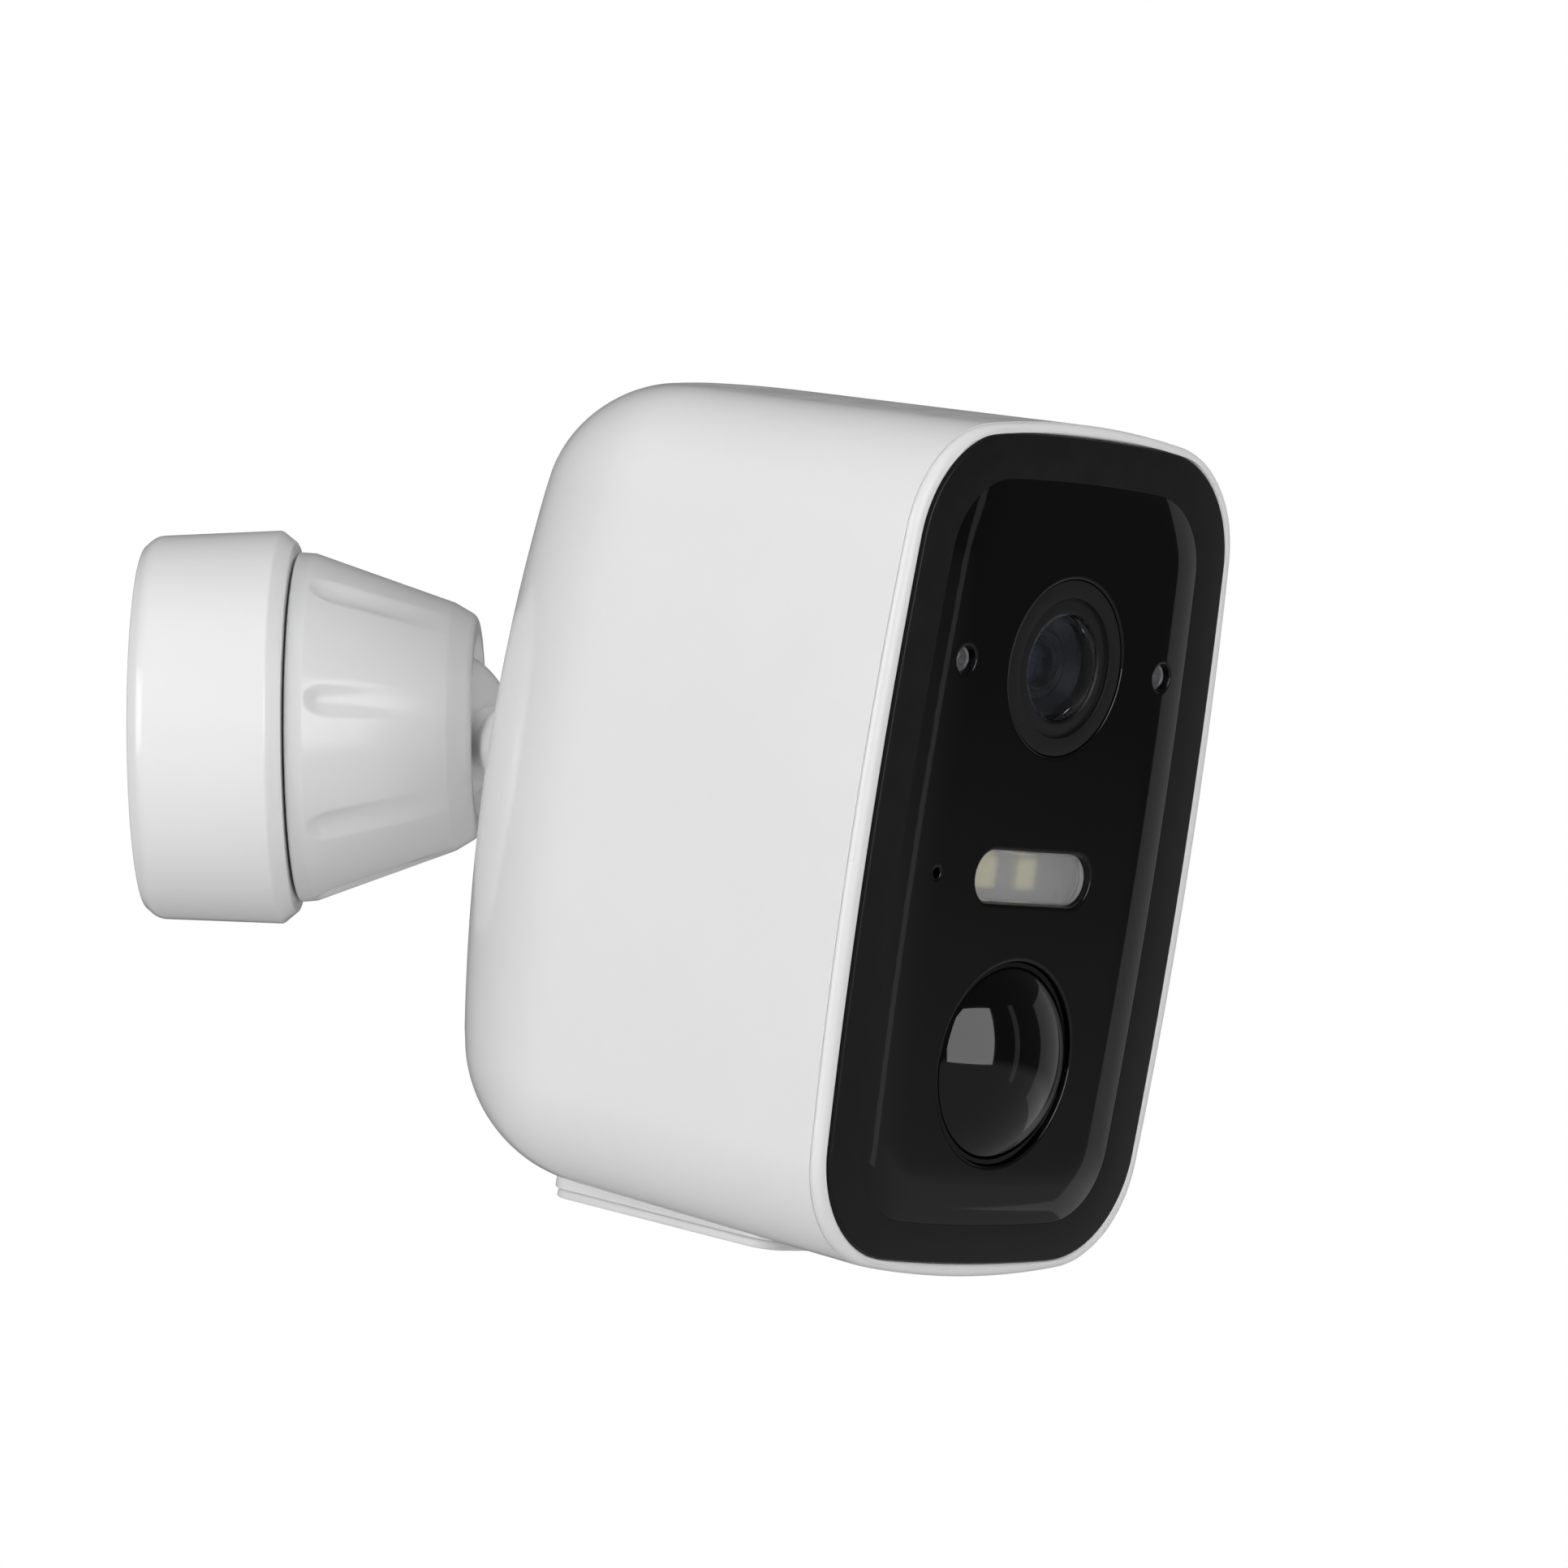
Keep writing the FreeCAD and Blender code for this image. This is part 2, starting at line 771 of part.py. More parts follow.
def make_clamp_nut():
    """Conical nut that holds the ball in its seat, with grip flutes around it."""
    outside = fuse(
        "nut_outside",
        bar("nut_band", "z", (0, 0), "nut_start", "nut_cone_start", "nut_back_radius"),
        bar(
            "nut_cone", "z", (0, 0), "nut_cone_start", "nut_cone_end",
            "nut_back_radius", "nut_cone_end_radius",
        ),
        bar(
            "nut_face", "z", (0, 0), "nut_cone_end", "nut_front", "nut_cone_end_radius", "nut_front_radius"
        ),
    )
    inside = [
        bar("nut_bore", "z", (0, 0), "nut_start - 1", "nut_bore_end", "nut_bore_radius"),
        bar(
            "nut_taper", "z", (0, 0), "nut_bore_end", "ring_start - 2",
            "nut_bore_radius", "ring_radius + 0.6",
        ),
        bar("nut_ring_room", "z", (0, 0), "ring_start - 2", "nut_lip_start", "ring_radius + fit_gap"),
        bar("nut_throat", "z", (0, 0), "nut_lip_start", "nut_lip_end", "nut_lip_radius"),
        bar(
            "nut_mouth", "z", (0, 0), "nut_lip_end", "nut_front", "nut_lip_radius", "nut_mouth_radius"
        ),
    ]
    cone_fall = size("nut_back_radius") - size("nut_cone_end_radius")
    cone_length = size("nut_cone_end") - size("nut_cone_start")
    cone_part = (size("flute_start") - size("nut_cone_start")) / cone_length
    start_radius = size("nut_back_radius") - cone_fall * cone_part
    start = Vector(start_radius - size("flute_depth") + size("flute_radius"), 0, size("flute_start"))
    stop = Vector(size("nut_cone_end_radius") + size("flute_radius"), 0, size("nut_cone_end"))
    flute_length = (stop - start).Length
    lean = Rotation(Vector(0, 0, 1), stop - start)
    flutes = []
    for number in range(int(size("flute_count"))):
        angle = size("flute_first_angle") + 360 * number / size("flute_count")
        flute = doc.addObject("Part::Cylinder", f"flute_{number}")
        bind(flute, "Radius", "flute_radius")
        flute.Height = flute_length
        around = Rotation(Vector(0, 0, 1), angle)
        flute.Placement = Placement(around.multVec(start), around.multiply(lean))
        flutes.append(flute)
    piece("clamp_nut", cut("clamp_nut_cut", outside, *inside, *flutes), WALL_FRAME)


def make_pressure_ring():
    """Plastic ring between the nut's lip and the ball."""
    ring = bar("ring_blank", "z", (0, 0), "ring_start", "ring_end", "ring_radius")
    seat = ball("ring_seat", (0, 0, "ball_distance"), "ball_radius + socket_gap")
    hole = bar("ring_hole", "z", (0, 0), "ball_distance", "ring_end + 1", "nut_lip_radius")
    piece("pressure_ring", cut("pressure_ring_cut", ring, seat, hole), WALL_FRAME)


# --- ball stud ----------------------------------------------------------------------------


def make_ball_stud():
    """Ball, neck and flange in one moulding, around the steel camera thread."""
    solid = fuse(
        "stud_solid",
        ball("stud_ball", (0, "ball_depth", 0), "ball_radius"),
        bar("stud_neck", "y", (0, 0), "flange_back", "ball_depth - ball_radius / 2", "neck_radius"),
        bar("stud_flare", "y", (0, 0), "flange_back", "neck_flare_end", "neck_flare_radius", "neck_radius"),
        bar("stud_flange", "y", (0, 0), "flange_front", "flange_back", "flange_radius"),
    )
    bore = bar("stud_bore", "y", (0, 0), "flange_front - 1", "stud_back", "stud_radius")
    piece("ball_stud", cut("ball_stud_cut", solid, bore), HEAD_FRAME)
    thread = fuse(
        "screw_solid",
        bar("screw_shank", "y", (0, 0), "stud_front + 0.6", "stud_back", "stud_radius"),
        bar("screw_tip", "y", (0, 0), "stud_front", "stud_front + 0.6", "stud_radius - 0.6", "stud_radius"),
    )
    piece("stud_screw", thread, HEAD_FRAME)
    insert = cut(
        "insert_cut",
        bar("insert_blank", "y", (0, 0), "insert_front", "insert_back", "insert_radius"),
        bar("insert_bore", "y", (0, 0), "insert_front - 1", "insert_back + 1", "insert_bore_radius"),
    )
    piece("mount_insert", insert, HEAD_FRAME)


# --- housing ------------------------------------------------------------------------------


def corner_bars(name, start, stop, radius):
    """Four round bars at the screw corners of the case."""
    bars = []
    for across in (-1, 1):
        for up in (-1, 1):
            spot = (f"{across} * screw_across", f"{up} * screw_up")
            bars.append(bar(f"{name}_{across}_{up}", "y", spot, start, stop, radius))
    return bars


def opening_block(name, depth, width, length):
    """Upright block through the floor of the port well."""
    middle = "(outside_below + inside_above) / 2"
    return block(name, (0, depth, middle), (width, length, "inside_above - outside_below"))


def make_housing():
    """Deep white shell with the thread boss at the back and the port land below."""
    outside = housing_loft("body_outside", 0, size("body_front"))
    inside = housing_loft("body_inside", size("body_wall"), size("body_front") - 3)
    shell = cut("shell_hollow", outside, inside)
    boss = bar("thread_boss", "y", (0, 0), "boss_front", "boss_back", "boss_radius")
    land = block(
        "port_land",
        (0, "(cover_front_end + cover_back_end) / 2", "(land_bottom + land_top) / 2"),
        (
            "2 * cover_half_width + land_margin",
            "cover_back_end - cover_front_end + land_margin",
            "land_top - land_bottom",
        ),
    )
    land_rounded = doc.addObject("Part::Fillet", "port_land_rounded")
    land_rounded.Base = land
    doc.recompute()
    corner = size("cover_corner")
    land_rounded.Edges = [
        (number, corner, corner)
        for number, edge in enumerate(land.Shape.Edges, start=1)
        if abs(edge.tangentAt(edge.FirstParameter).z) > 0.99
    ]
    case_bosses = corner_bars("case_boss", "case_boss_front", "case_boss_back", "case_boss_radius")
    solid = fuse("shell_solid", shell, boss, land_rounded, *case_bosses)
    below, above = "outside_below", "inside_above"
    insert_room = bar(
        "insert_room", "y", (0, 0), "insert_front", "boss_back + 1", "insert_radius + fit_of_threads"
    )
    well = block(
        "port_well",
        (0, "well_middle", "(port_floor + outside_below) / 2"),
        ("well_width", "well_length", "port_floor - outside_below"),
    )
    tools = [
        insert_room,
        bar("stud_room", "y", (0, 0), "boss_front - 1", "insert_front + 1", "stud_radius + 0.3"),
        well,
        opening_block("usb_opening", "usb_depth", "usb_opening_width", "usb_opening_length"),
        opening_block("card_opening", "card_depth", "card_opening_width", "card_opening_length"),
        bar("reset_opening", "z", (0, "reset_depth"), below, above, "button_hole_radius"),
        bar("power_opening", "z", (0, "power_depth"), below, above, "button_hole_radius"),
        *corner_bars("case_pilot", "pilot_front", "pilot_back", "pilot_radius"),
    ]
    for column in (-1.5, -0.5, 0.5, 1.5):
        for line in (-1, 0, 1):
            spot = (f"{column} * grille_spacing", f"grille_middle + {line} * grille_line_step")
            name = f"grille_{int(column * 2)}_{line}"
            tools.append(bar(name, "z", spot, below, "land_top + 0.4", "grille_hole_radius"))
    piece("housing_shell", cut("housing_cut", solid, *tools), HEAD_FRAME)


def make_front_bezel():
    """White rim around the black front, with a tongue that plugs into the shell."""
    inner_face = size("bezel_inner_face")
    front = size("body_front")
    back = size("bezel_back")
    rim_steps = [(inner_face, 1.0), (inner_face + 0.3, 0.35), (front, 0.05)]
    rim = stacked("bezel_rim", body_wire, rim_steps)
    tongue_inset = size("body_wall") + size("tongue_gap")
    tongue = stacked("bezel_tongue", body_wire, [(front, tongue_inset), (back, tongue_inset)])
    seat = size("seat_depth")
    gap = size("fit_gap")
    opening = stacked("bezel_opening", panel_wire, [(0, -gap), (seat, -gap)])
    inner = size("flange_step") - gap
    throat = stacked("bezel_throat", panel_wire, [(seat - 0.5, inner), (back + 1, inner)])
    solid = fuse("bezel_solid", rim, tongue)
    piece("front_bezel", cut("bezel_cut", solid, opening, throat), HEAD_FRAME)


def front_openings(name, extra, sensor_radius):
    """Openings through the front for the lens, lamps, sensor and microphone."""
    start, stop = -1, 6
    lens = bar(name + "_lens", "y", (0, "lens_height"), start, stop, f"lens_ring_radius + {extra}")
    leds = []
    for side in (-1, 1):
        spot = (f"{side} * led_offset", "led_height")
        leds.append(bar(f"{name}_led_{side}", "y", spot, start, stop, f"led_radius + {extra}"))
    half_length = f"spot_half_length + {extra}"
    half_height = f"spot_half_height + {extra}"
    spot = pill_bar(name + "_spot", "spot_height", start, stop, half_length, half_height)
    sensor = bar(name + "_sensor", "y", (0, "sensor_height"), start, stop, sensor_radius)
    mic = bar(name + "_mic", "y", ("mic_offset", "mic_height"), start, stop, "mic_hole_radius")
    return [lens, *leds, spot, sensor, mic]


def make_front():
    """Satin outer frame and the glossy raised centre."""
    face = size("panel_face")
    edge = size("panel_edge_round")
    seat = size("seat_depth")
    step = size("flange_step")
    gap = size("fit_gap")
    floor = size("window_seat")
    front_steps = [(face, edge), (face + edge * 0.3, edge * 0.3), (face + edge, 0), (seat, 0)]
    front = stacked("frame_flange", panel_wire, front_steps)
    rear = stacked("frame_rear", panel_wire, [(seat, step), (size("frame_back"), step)])
    recess = stacked("frame_recess", window_wire, [(-1, -gap), (floor + 0.02, -gap)])
    holes = front_openings("frame_hole", 0.1, "sensor_dome_radius + 0.3")
    frame_solid = fuse("frame_solid", front, rear)
    piece("front_frame", cut("frame_cut", frame_solid, recess, *holes), HEAD_FRAME)
    pillow_steps = [(floor, 0), (face, 0)]
    pillow_steps += [(0.5, 0.5), (0.28, 1.6), (0.12, 3.2), (0.03, 5.0), (0, 7.0)]
    pillow = stacked("window_pillow", window_wire, pillow_steps)
    window_holes = front_openings("window_hole", 0.08, "sensor_ring_radius")
    piece("front_window", cut("window_cut", pillow, *window_holes), HEAD_FRAME)


def make_gasket_and_frame():
    """Front seal, the black chassis behind it and the four case screws."""
    wall = size("body_wall")
    front, back = size("gasket_front"), size("gasket_back")
    outset, inset = wall + size("gasket_outset"), wall + size("gasket_inset")
    gasket = cut(
        "gasket_cut",
        stacked("gasket_outer", body_wire, [(front, outset), (back, outset)]),
        stacked("gasket_inner", body_wire, [(front - 1, inset), (back + 1, inset)]),
    )
    piece("seal_gasket", gasket, HEAD_FRAME)
    plate_inset = wall + size("chassis_outset")
    plate_steps = [(size("chassis_front"), plate_inset), (size("chassis_back"), plate_inset)]
    plate = stacked("chassis_plate", body_wire, plate_steps)
    rails = []
    for side in (-1, 1):
        centre = (f"{side} * rail_across", "(rail_front + rail_back) / 2", 0)
        lengths = ("rail_width", "rail_back - rail_front", "rail_height")
        rails.append(block(f"chassis_rail_{side}", centre, lengths))
    window = block(
        "chassis_window",
        (0, "chassis_front", "chassis_window_middle"),
        ("chassis_window_width", 6, "chassis_window_height"),
    )
    holes = corner_bars("chassis_hole", "chassis_front - 1", "chassis_back + 1", "chassis_hole_radius")
    solid = fuse("chassis_solid", plate, *rails)
    piece("inner_frame", cut("chassis_cut", solid, window, *holes), HEAD_FRAME)
    heads = corner_bars("screw_head", "screw_head_front", "screw_head_back", "screw_head_side")
    shanks = corner_bars("screw_shank", "screw_head_back", "screw_end", "screw_shank_radius")
    corners = [(across, up) for across in (-1, 1) for up in (-1, 1)]
    screws = []
    for (across, up), head, shank in zip(corners, heads, shanks):
        name = f"{across}_{up}"
        slot = block(
            "screw_slot_" + name,
            (f"{across} * screw_across", "screw_head_front", f"{up} * screw_up"),
            ("screw_slot_width", "2 * screw_slot_depth", "screw_slot_length"),
        )
        screws.append(cut("screw_" + name, fuse("screw_blank_" + name, head, shank), slot))
    piece("case_screws", group("case_screw_group", *screws), HEAD_FRAME)


# --- optics -------------------------------------------------------------------------------


def make_lens():
    """Trim ring, barrel with its stop, glass and the sensor behind them."""
    at = (0, "lens_height")

    def turned(name, start, stop, radius, end_radius=None):
        return bar(name, "y", at, start, stop, radius, end_radius)

    trim = cut(
        "trim_cut",
        turned("trim_blank", "trim_front", "frame_back", "lens_ring_radius"),
        turned("trim_step", "trim_front", "trim_step_back", "lens_step_radius", "lens_step_floor"),
        turned("trim_bore", "trim_step_back - 0.1", "frame_back + 1", "front_lens_radius + fit_gap"),
    )
    piece("lens_trim_ring", trim, HEAD_FRAME)
    barrel_solid = fuse(
        "barrel_solid",
        turned("barrel_body", "barrel_front", "barrel_back", "barrel_radius"),
        turned("barrel_nose", "barrel_nose_front", "barrel_front + 0.2", "barrel_nose_radius"),
    )
    barrel = cut(
        "barrel_cut",
        barrel_solid,
        turned(
            "barrel_cone", "barrel_nose_front", "barrel_cone_back", "barrel_cone_start", "barrel_cone_stop"
        ),
        turned("barrel_stop", "barrel_cone_back - 0.1", "stop_back", "aperture_radius"),
        turned("barrel_bore", "stop_back - 0.1", "barrel_back + 1", "barrel_bore_radius"),
    )
    piece("lens_barrel", barrel, HEAD_FRAME)
    sphere_spot = (0, "front_lens_apex + front_lens_dome", "lens_height")
    dome = doc.addObject("Part::Common", "front_lens_common")
    dome.Base = turned("front_lens_blank", -1, "front_lens_back", "front_lens_radius")
    dome.Tool = ball("front_lens_sphere", sphere_spot, "front_lens_dome")
    piece("front_lens", dome, HEAD_FRAME)
    inner = turned("inner_lens_blank", "inner_lens_front", "inner_lens_back", "inner_lens_radius")
    piece("inner_lens", group("inner_lens_piece", inner), HEAD_FRAME)
    holder = cut(
        "holder_cut",
        block(
            "holder_block",
            (0, "(holder_front + holder_back) / 2", "lens_height"),
            ("holder_side", "holder_back - holder_front", "holder_side"),
        ),
        turned("holder_bore", "holder_front - 1", "holder_seat", "barrel_radius + 0.04"),
        block(
            "holder_room",
            (0, "holder_back", "lens_height"),
            ("holder_room_side", "2 * (holder_back - holder_seat) + 0.2", "holder_room_side"),
        ),
    )
    piece("lens_holder", holder, HEAD_FRAME)
    sensor = fuse(
        "sensor_board",
        block(
            "sensor_circuit",
            (0, "(sensor_board_front + sensor_board_back) / 2", "lens_height"),
            ("sensor_board_side", "sensor_board_back - sensor_board_front", "sensor_board_side"),
        ),
        block(
            "sensor_chip",
            (0, "(sensor_chip_front + sensor_board_front) / 2", "lens_height"),
            ("sensor_chip_side", "sensor_board_front - sensor_chip_front", "sensor_chip_side"),
        ),
    )
    piece("image_sensor", sensor, HEAD_FRAME)


# --- lamps and sensors --------------------------------------------------------------------


def make_lamps():
    """Infrared lamps and the spotlight."""
    board = "front_board_front"
    lamps = []
    for side in (-1, 1):
        across = f"{side} * led_offset"
        stem = bar(f"lamp_stem_{side}", "y", (across, "led_height"), "lamp_tip_depth", board, "led_radius")
        tip = ball(f"lamp_tip_{side}", (across, "lamp_tip_depth", "led_height"), "led_radius")
        lamps.append(fuse(f"lamp_{side}", stem, tip))
    piece("ir_leds", group("lamp_group", *lamps), HEAD_FRAME)
    window = pill_bar(
        "spot_window", "spot_height", "spot_front", "spot_back", "spot_half_length", "spot_half_height"
    )
    piece("spotlight_lens", window, HEAD_FRAME)
    chips = []
    for side in (-1, 1):
        centre = (f"{side} * spot_led_offset", "(spot_led_front + front_board_front) / 2", "spot_height")
        lengths = ("spot_led_side", "front_board_front - spot_led_front", "spot_led_side")
        chips.append(block(f"spot_chip_{side}", centre, lengths))
    piece("spotlight_leds", group("spot_chip_group", *chips), HEAD_FRAME)


def make_sensors():
    """Motion sensor under its dome, and the microphone."""
    at = (0, "sensor_height")
    rim = "sensor_dome_base"
    board = "front_board_front"
    sphere_depth = "sensor_dome_base + sqrt(sensor_dome_sphere ^ 2 - sensor_dome_radius ^ 2)"
    sphere_spot = (0, sphere_depth, "sensor_height")
    in_front = "sensor_dome_base - 8"
    cap = doc.addObject("Part::Common", "dome_cap")
    cap.Base = bar("dome_cap_blank", "y", at, in_front, rim, "sensor_dome_radius")
    cap.Tool = ball("dome_sphere", sphere_spot, "sensor_dome_sphere")
    skirt = bar("dome_skirt", "y", at, rim, "dome_rim_back", "sensor_dome_radius")
    flange_radius = "sensor_dome_radius + dome_rim_width"
    flange = bar("dome_flange", "y", at, "dome_rim_front", "dome_rim_back", flange_radius)
    solid = fuse("dome_solid", cap, skirt, flange)
    hollow_cap = doc.addObject("Part::Common", "dome_hollow_cap")
    inner_radius = "sensor_dome_radius - dome_wall"
    hollow_cap.Base = bar("dome_room_blank", "y", at, in_front, "dome_rim_back + 1", inner_radius)
    hollow_cap.Tool = ball("dome_room_sphere", sphere_spot, "sensor_dome_sphere - dome_wall")
    piece("pir_lens", cut("dome_cut", solid, hollow_cap), HEAD_FRAME)
    can = fuse(
        "can_solid",
        bar("can_base", "y", at, "can_base_front", board, "can_base_radius"),
        bar("can_top", "y", at, "can_front", "can_base_front", "can_radius"),
    )
    can_window = block(
        "can_window",
        (0, "can_front", "sensor_height"),
        ("can_window_width", "2 * can_window_depth", "can_window_height"),
    )
    piece("pir_sensor", cut("can_cut", can, can_window), HEAD_FRAME)
    mic = bar("mic_can", "y", ("mic_offset", "mic_height"), "mic_front", board, "mic_radius")
    piece("microphone", group("microphone_piece", mic), HEAD_FRAME)


def make_boards():
    """Circuit boards, drawn as sketched plates, and the antenna."""
    front = rounded_plate(
        "front_board",
        "XZ_Plane",
        (0, "front_board_middle"),
        ("front_board_width", "front_board_height"),
        "front_board_thickness",
        "front_board_corner",
        "-front_board_front - front_board_thickness",
    )
    hole_radius = "barrel_radius + lens_hole_margin"
    lens_hole = bar("board_lens_hole", "y", (0, "lens_height"), 5, 9, hole_radius)
    piece("front_board", cut("front_board_cut", front, lens_hole), HEAD_FRAME)
    main = rounded_plate(
        "main_board",
        "XZ_Plane",
        (0, 0),
        ("main_board_width", "main_board_height"),
        "main_board_thickness",
        "main_board_corner",
        "-main_board_front - main_board_thickness",
    )

    def chip(name, across, level, width, height, length):
        return block(name, (across, f"main_board_front - {height} / 2", level), (width, height, length))

    chips = [
        chip("processor", -6, -8, "processor_side", "processor_height", "processor_side"),
        chip("memory_chip", 9, -6, "memory_width", "memory_height", "memory_length"),
        chip("radio_can", 8, -24, "radio_width", "radio_height", "radio_length"),
        chip("power_coil", -12, -25, "coil_side", "coil_height", "coil_side"),
    ]
    piece("main_board", fuse("main_board_solid", main, *chips), HEAD_FRAME)
    port_board = rounded_plate(
        "io_board",
        "XY_Plane",
        (0, "port_board_middle"),
        ("port_board_width", "port_board_length"),
        "port_board_thickness",
        "port_board_corner",
        "port_board_bottom",
    )
    piece("io_board", group("io_board_piece", port_board), HEAD_FRAME)
    strip = block(
        "antenna_strip",
        (0, "antenna_depth", "antenna_level"),
        ("antenna_width", "antenna_length", "antenna_thickness"),
    )
    piece("antenna", group("antenna_piece", strip), HEAD_FRAME)


def make_power_and_sound():
    """Two cells in their tray, and the speaker above its grille."""
    cells = []
    half = "cell_length / 2"
    for side in (-1, 1):
        spot = (f"{side} * cell_spacing / 2", "cell_depth")
        can = bar(f"cell_{side}", "z", spot, "-cell_length / 2", half, "cell_radius")
        nub = bar(f"cell_nub_{side}", "z", spot, half, half + " + cell_nub_height", "cell_nub_radius")
        cells.append(fuse(f"cell_solid_{side}", can, nub))
    piece("battery_cells", group("cell_group", *cells), HEAD_FRAME)
    ends = []
    for up in (-1, 1):
        centre = (0, "tray_end_middle", f"{up} * tray_end_level")
        lengths = ("tray_width", "tray_end_length", "tray_end_thickness")
        ends.append(block(f"tray_end_{up}", centre, lengths))
    plate = block(
        "tray_plate",
        (0, "tray_plate_depth", 0),
        ("tray_width", "tray_plate_thickness", "tray_plate_height"),
    )
    piece("battery_tray", fuse("tray_solid", plate, *ends), HEAD_FRAME)
    speaker = fuse(
        "speaker_solid",
        block(
            "speaker_box",
            (0, "speaker_depth", "speaker_level"),
            ("speaker_width", "speaker_length", "speaker_height"),
        ),
        block(
            "speaker_rim",
            (0, "speaker_depth", "speaker_rim_level"),
            ("speaker_rim_width", "speaker_rim_length", "speaker_rim_height"),
        ),
    )
    piece("speaker", speaker, HEAD_FRAME)


def make_ports():
    """Charging port, card slot and buttons behind the port cover."""
    usb = cut(
        "usb_cut",
        block("usb_can", (0, "usb_depth", "usb_level"), ("usb_width", "usb_length", "usb_height")),
        block(
            "usb_mouth",
            (0, "usb_depth", "usb_mouth_level"),
            ("usb_mouth_width", "usb_mouth_length", "usb_mouth_height"),
        ),
    )
    piece("usb_port", usb, HEAD_FRAME)
    socket = cut(
        "socket_cut",
        block(
            "socket_can",
            (0, "card_depth", "socket_level"),
            ("socket_width", "socket_length", "socket_height"),
        ),
        block("socket_slot", (0, "card_depth", "slot_level"), ("slot_width", "slot_length", "slot_height")),
    )
    piece("card_socket", socket, HEAD_FRAME)
    blade = block(
        "card_blade", (0, "card_depth", "card_level"), ("card_width", "card_thickness", "card_height")
    )
    piece("memory_card", group("memory_card_piece", blade), HEAD_FRAME)
    for label, depth in (("reset_button", "reset_depth"), ("power_button", "power_depth")):
        collar_bottom, collar_top = "button_collar_bottom", "button_collar_top"
        cap = bar(label + "_cap", "z", (0, depth), "button_bottom", collar_bottom, "button_radius")
        collar = bar(
            label + "_collar", "z", (0, depth), collar_bottom, collar_top, "button_collar_radius"
        )
        piece(label, fuse(label + "_solid", cap, collar), HEAD_FRAME)
    cover = rounded_plate(
        "port_cover",
        "XY_Plane",
        (0, "(cover_front_end + cover_back_end) / 2"),
        ("2 * cover_half_width", "cover_back_end - cover_front_end"),
        "cover_top - cover_underside",
        "cover_corner",
        "cover_underside",
    )
    piece("port_cover", group("port_cover_piece", cover), HEAD_FRAME)


make_wall_plate()
make_bracket_base()
make_clamp_nut()
make_pressure_ring()
make_ball_stud()
make_housing()
make_front_bezel()
make_front()
make_gasket_and_frame()
make_lens()
make_lamps()
make_sensors()
make_boards()
make_power_and_sound()
make_ports()
doc.recompute()

failed = [item.Label for item in doc.Objects if {"Invalid", "Error"} & set(item.State)]
if failed:
    raise RuntimeError("not computed: " + ", ".join(failed))
for item in pieces:
    if item.Shape.isNull() or not item.Shape.isValid() or not item.Shape.Solids:
        raise RuntimeError("bad shape: " + item.Label)

os.makedirs("parts", exist_ok=True)
for item in pieces:
    item.Shape.exportStep(f"parts/{item.Label}.step")
    print(item.Label, len(item.Shape.Solids), round(item.Shape.Volume, 1))
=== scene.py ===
"""Looks of the security camera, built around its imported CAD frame.

Sizes are in millimetres, in the frames of the CAD model. The bracket is drawn along its own z
axis, which is the distance from the wall. The head is drawn square: x across, y back from the
front face and z up. WALL and HEAD put them into the shared frame, in metres.
"""
import math

import bmesh
import bpy
import numpy as np
from mathutils import Matrix, Vector
from mathutils.geometry import delaunay_2d_cdt


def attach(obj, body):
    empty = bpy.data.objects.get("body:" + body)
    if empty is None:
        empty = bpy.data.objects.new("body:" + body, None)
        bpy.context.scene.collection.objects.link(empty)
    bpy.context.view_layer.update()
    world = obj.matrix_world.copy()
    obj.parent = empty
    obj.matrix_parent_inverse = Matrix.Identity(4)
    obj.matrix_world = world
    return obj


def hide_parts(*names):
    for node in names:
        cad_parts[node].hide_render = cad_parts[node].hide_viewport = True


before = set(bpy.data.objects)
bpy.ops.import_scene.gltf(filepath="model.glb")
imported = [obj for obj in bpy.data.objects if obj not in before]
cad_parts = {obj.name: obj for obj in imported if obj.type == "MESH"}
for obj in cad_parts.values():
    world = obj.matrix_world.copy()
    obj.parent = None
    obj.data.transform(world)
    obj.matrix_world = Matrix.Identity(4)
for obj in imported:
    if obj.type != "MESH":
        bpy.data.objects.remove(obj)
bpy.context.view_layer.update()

scene = bpy.context.scene


# --- sizes ---------------------------------------------------------------------------------

MM = 0.001
MICROMETRE = 1e-6
BALL_FROM_WALL = 33.4
BALL_BEHIND_FRONT = 91.4
HEAD_TURN = math.radians(-37.5)
HEAD_DIP = math.radians(11.3)
METRES = Matrix.Diagonal((MM, MM, MM, 1))
WALL = Matrix.Rotation(math.radians(90), 4, "X") @ METRES
HEAD = (
    Matrix.Translation((0, -BALL_FROM_WALL * MM, 0))
    @ Matrix.Rotation(HEAD_TURN, 4, "Z")
    @ Matrix.Rotation(HEAD_DIP, 4, "X")
    @ Matrix.Translation((0, -BALL_BEHIND_FRONT * MM, 0))
    @ METRES
)

BODY = dict(half_width=29.85, top=47.4, bottom=47.6, side_bow=430, cap_bow=135, corner=13.3)
PANEL = dict(half_width=27.9, top=46, bottom=46, side_bow=544, cap_bow=253, corner=13)
WINDOW = dict(half_width=22.7, top=41, bottom=41.6, side_bow=544, cap_bow=253, corner=9)
BODY_FRONT = 2.25                   # where the shell meets the white rim
BACK_START = 42.8                   # where the shell's straight sides end
PANEL_FACE = 0.75                   # face of the satin band
SEAT_FACE = 3.02                    # floor of the satin frame, which the window sits on
SEAT_BACK = 4.6
LENS_SPOT = (0, 20.7)
RING_RADIUS = 9.8
LAMP_SPOTS = [(-17.45, 20.65), (17.45, 20.65)]
LAMP_RADIUS = 1.45
SPOTLIGHT_HEIGHT = -2.76
SPOTLIGHT_HALF = (10.05, 2.87)      # half its length and half its height
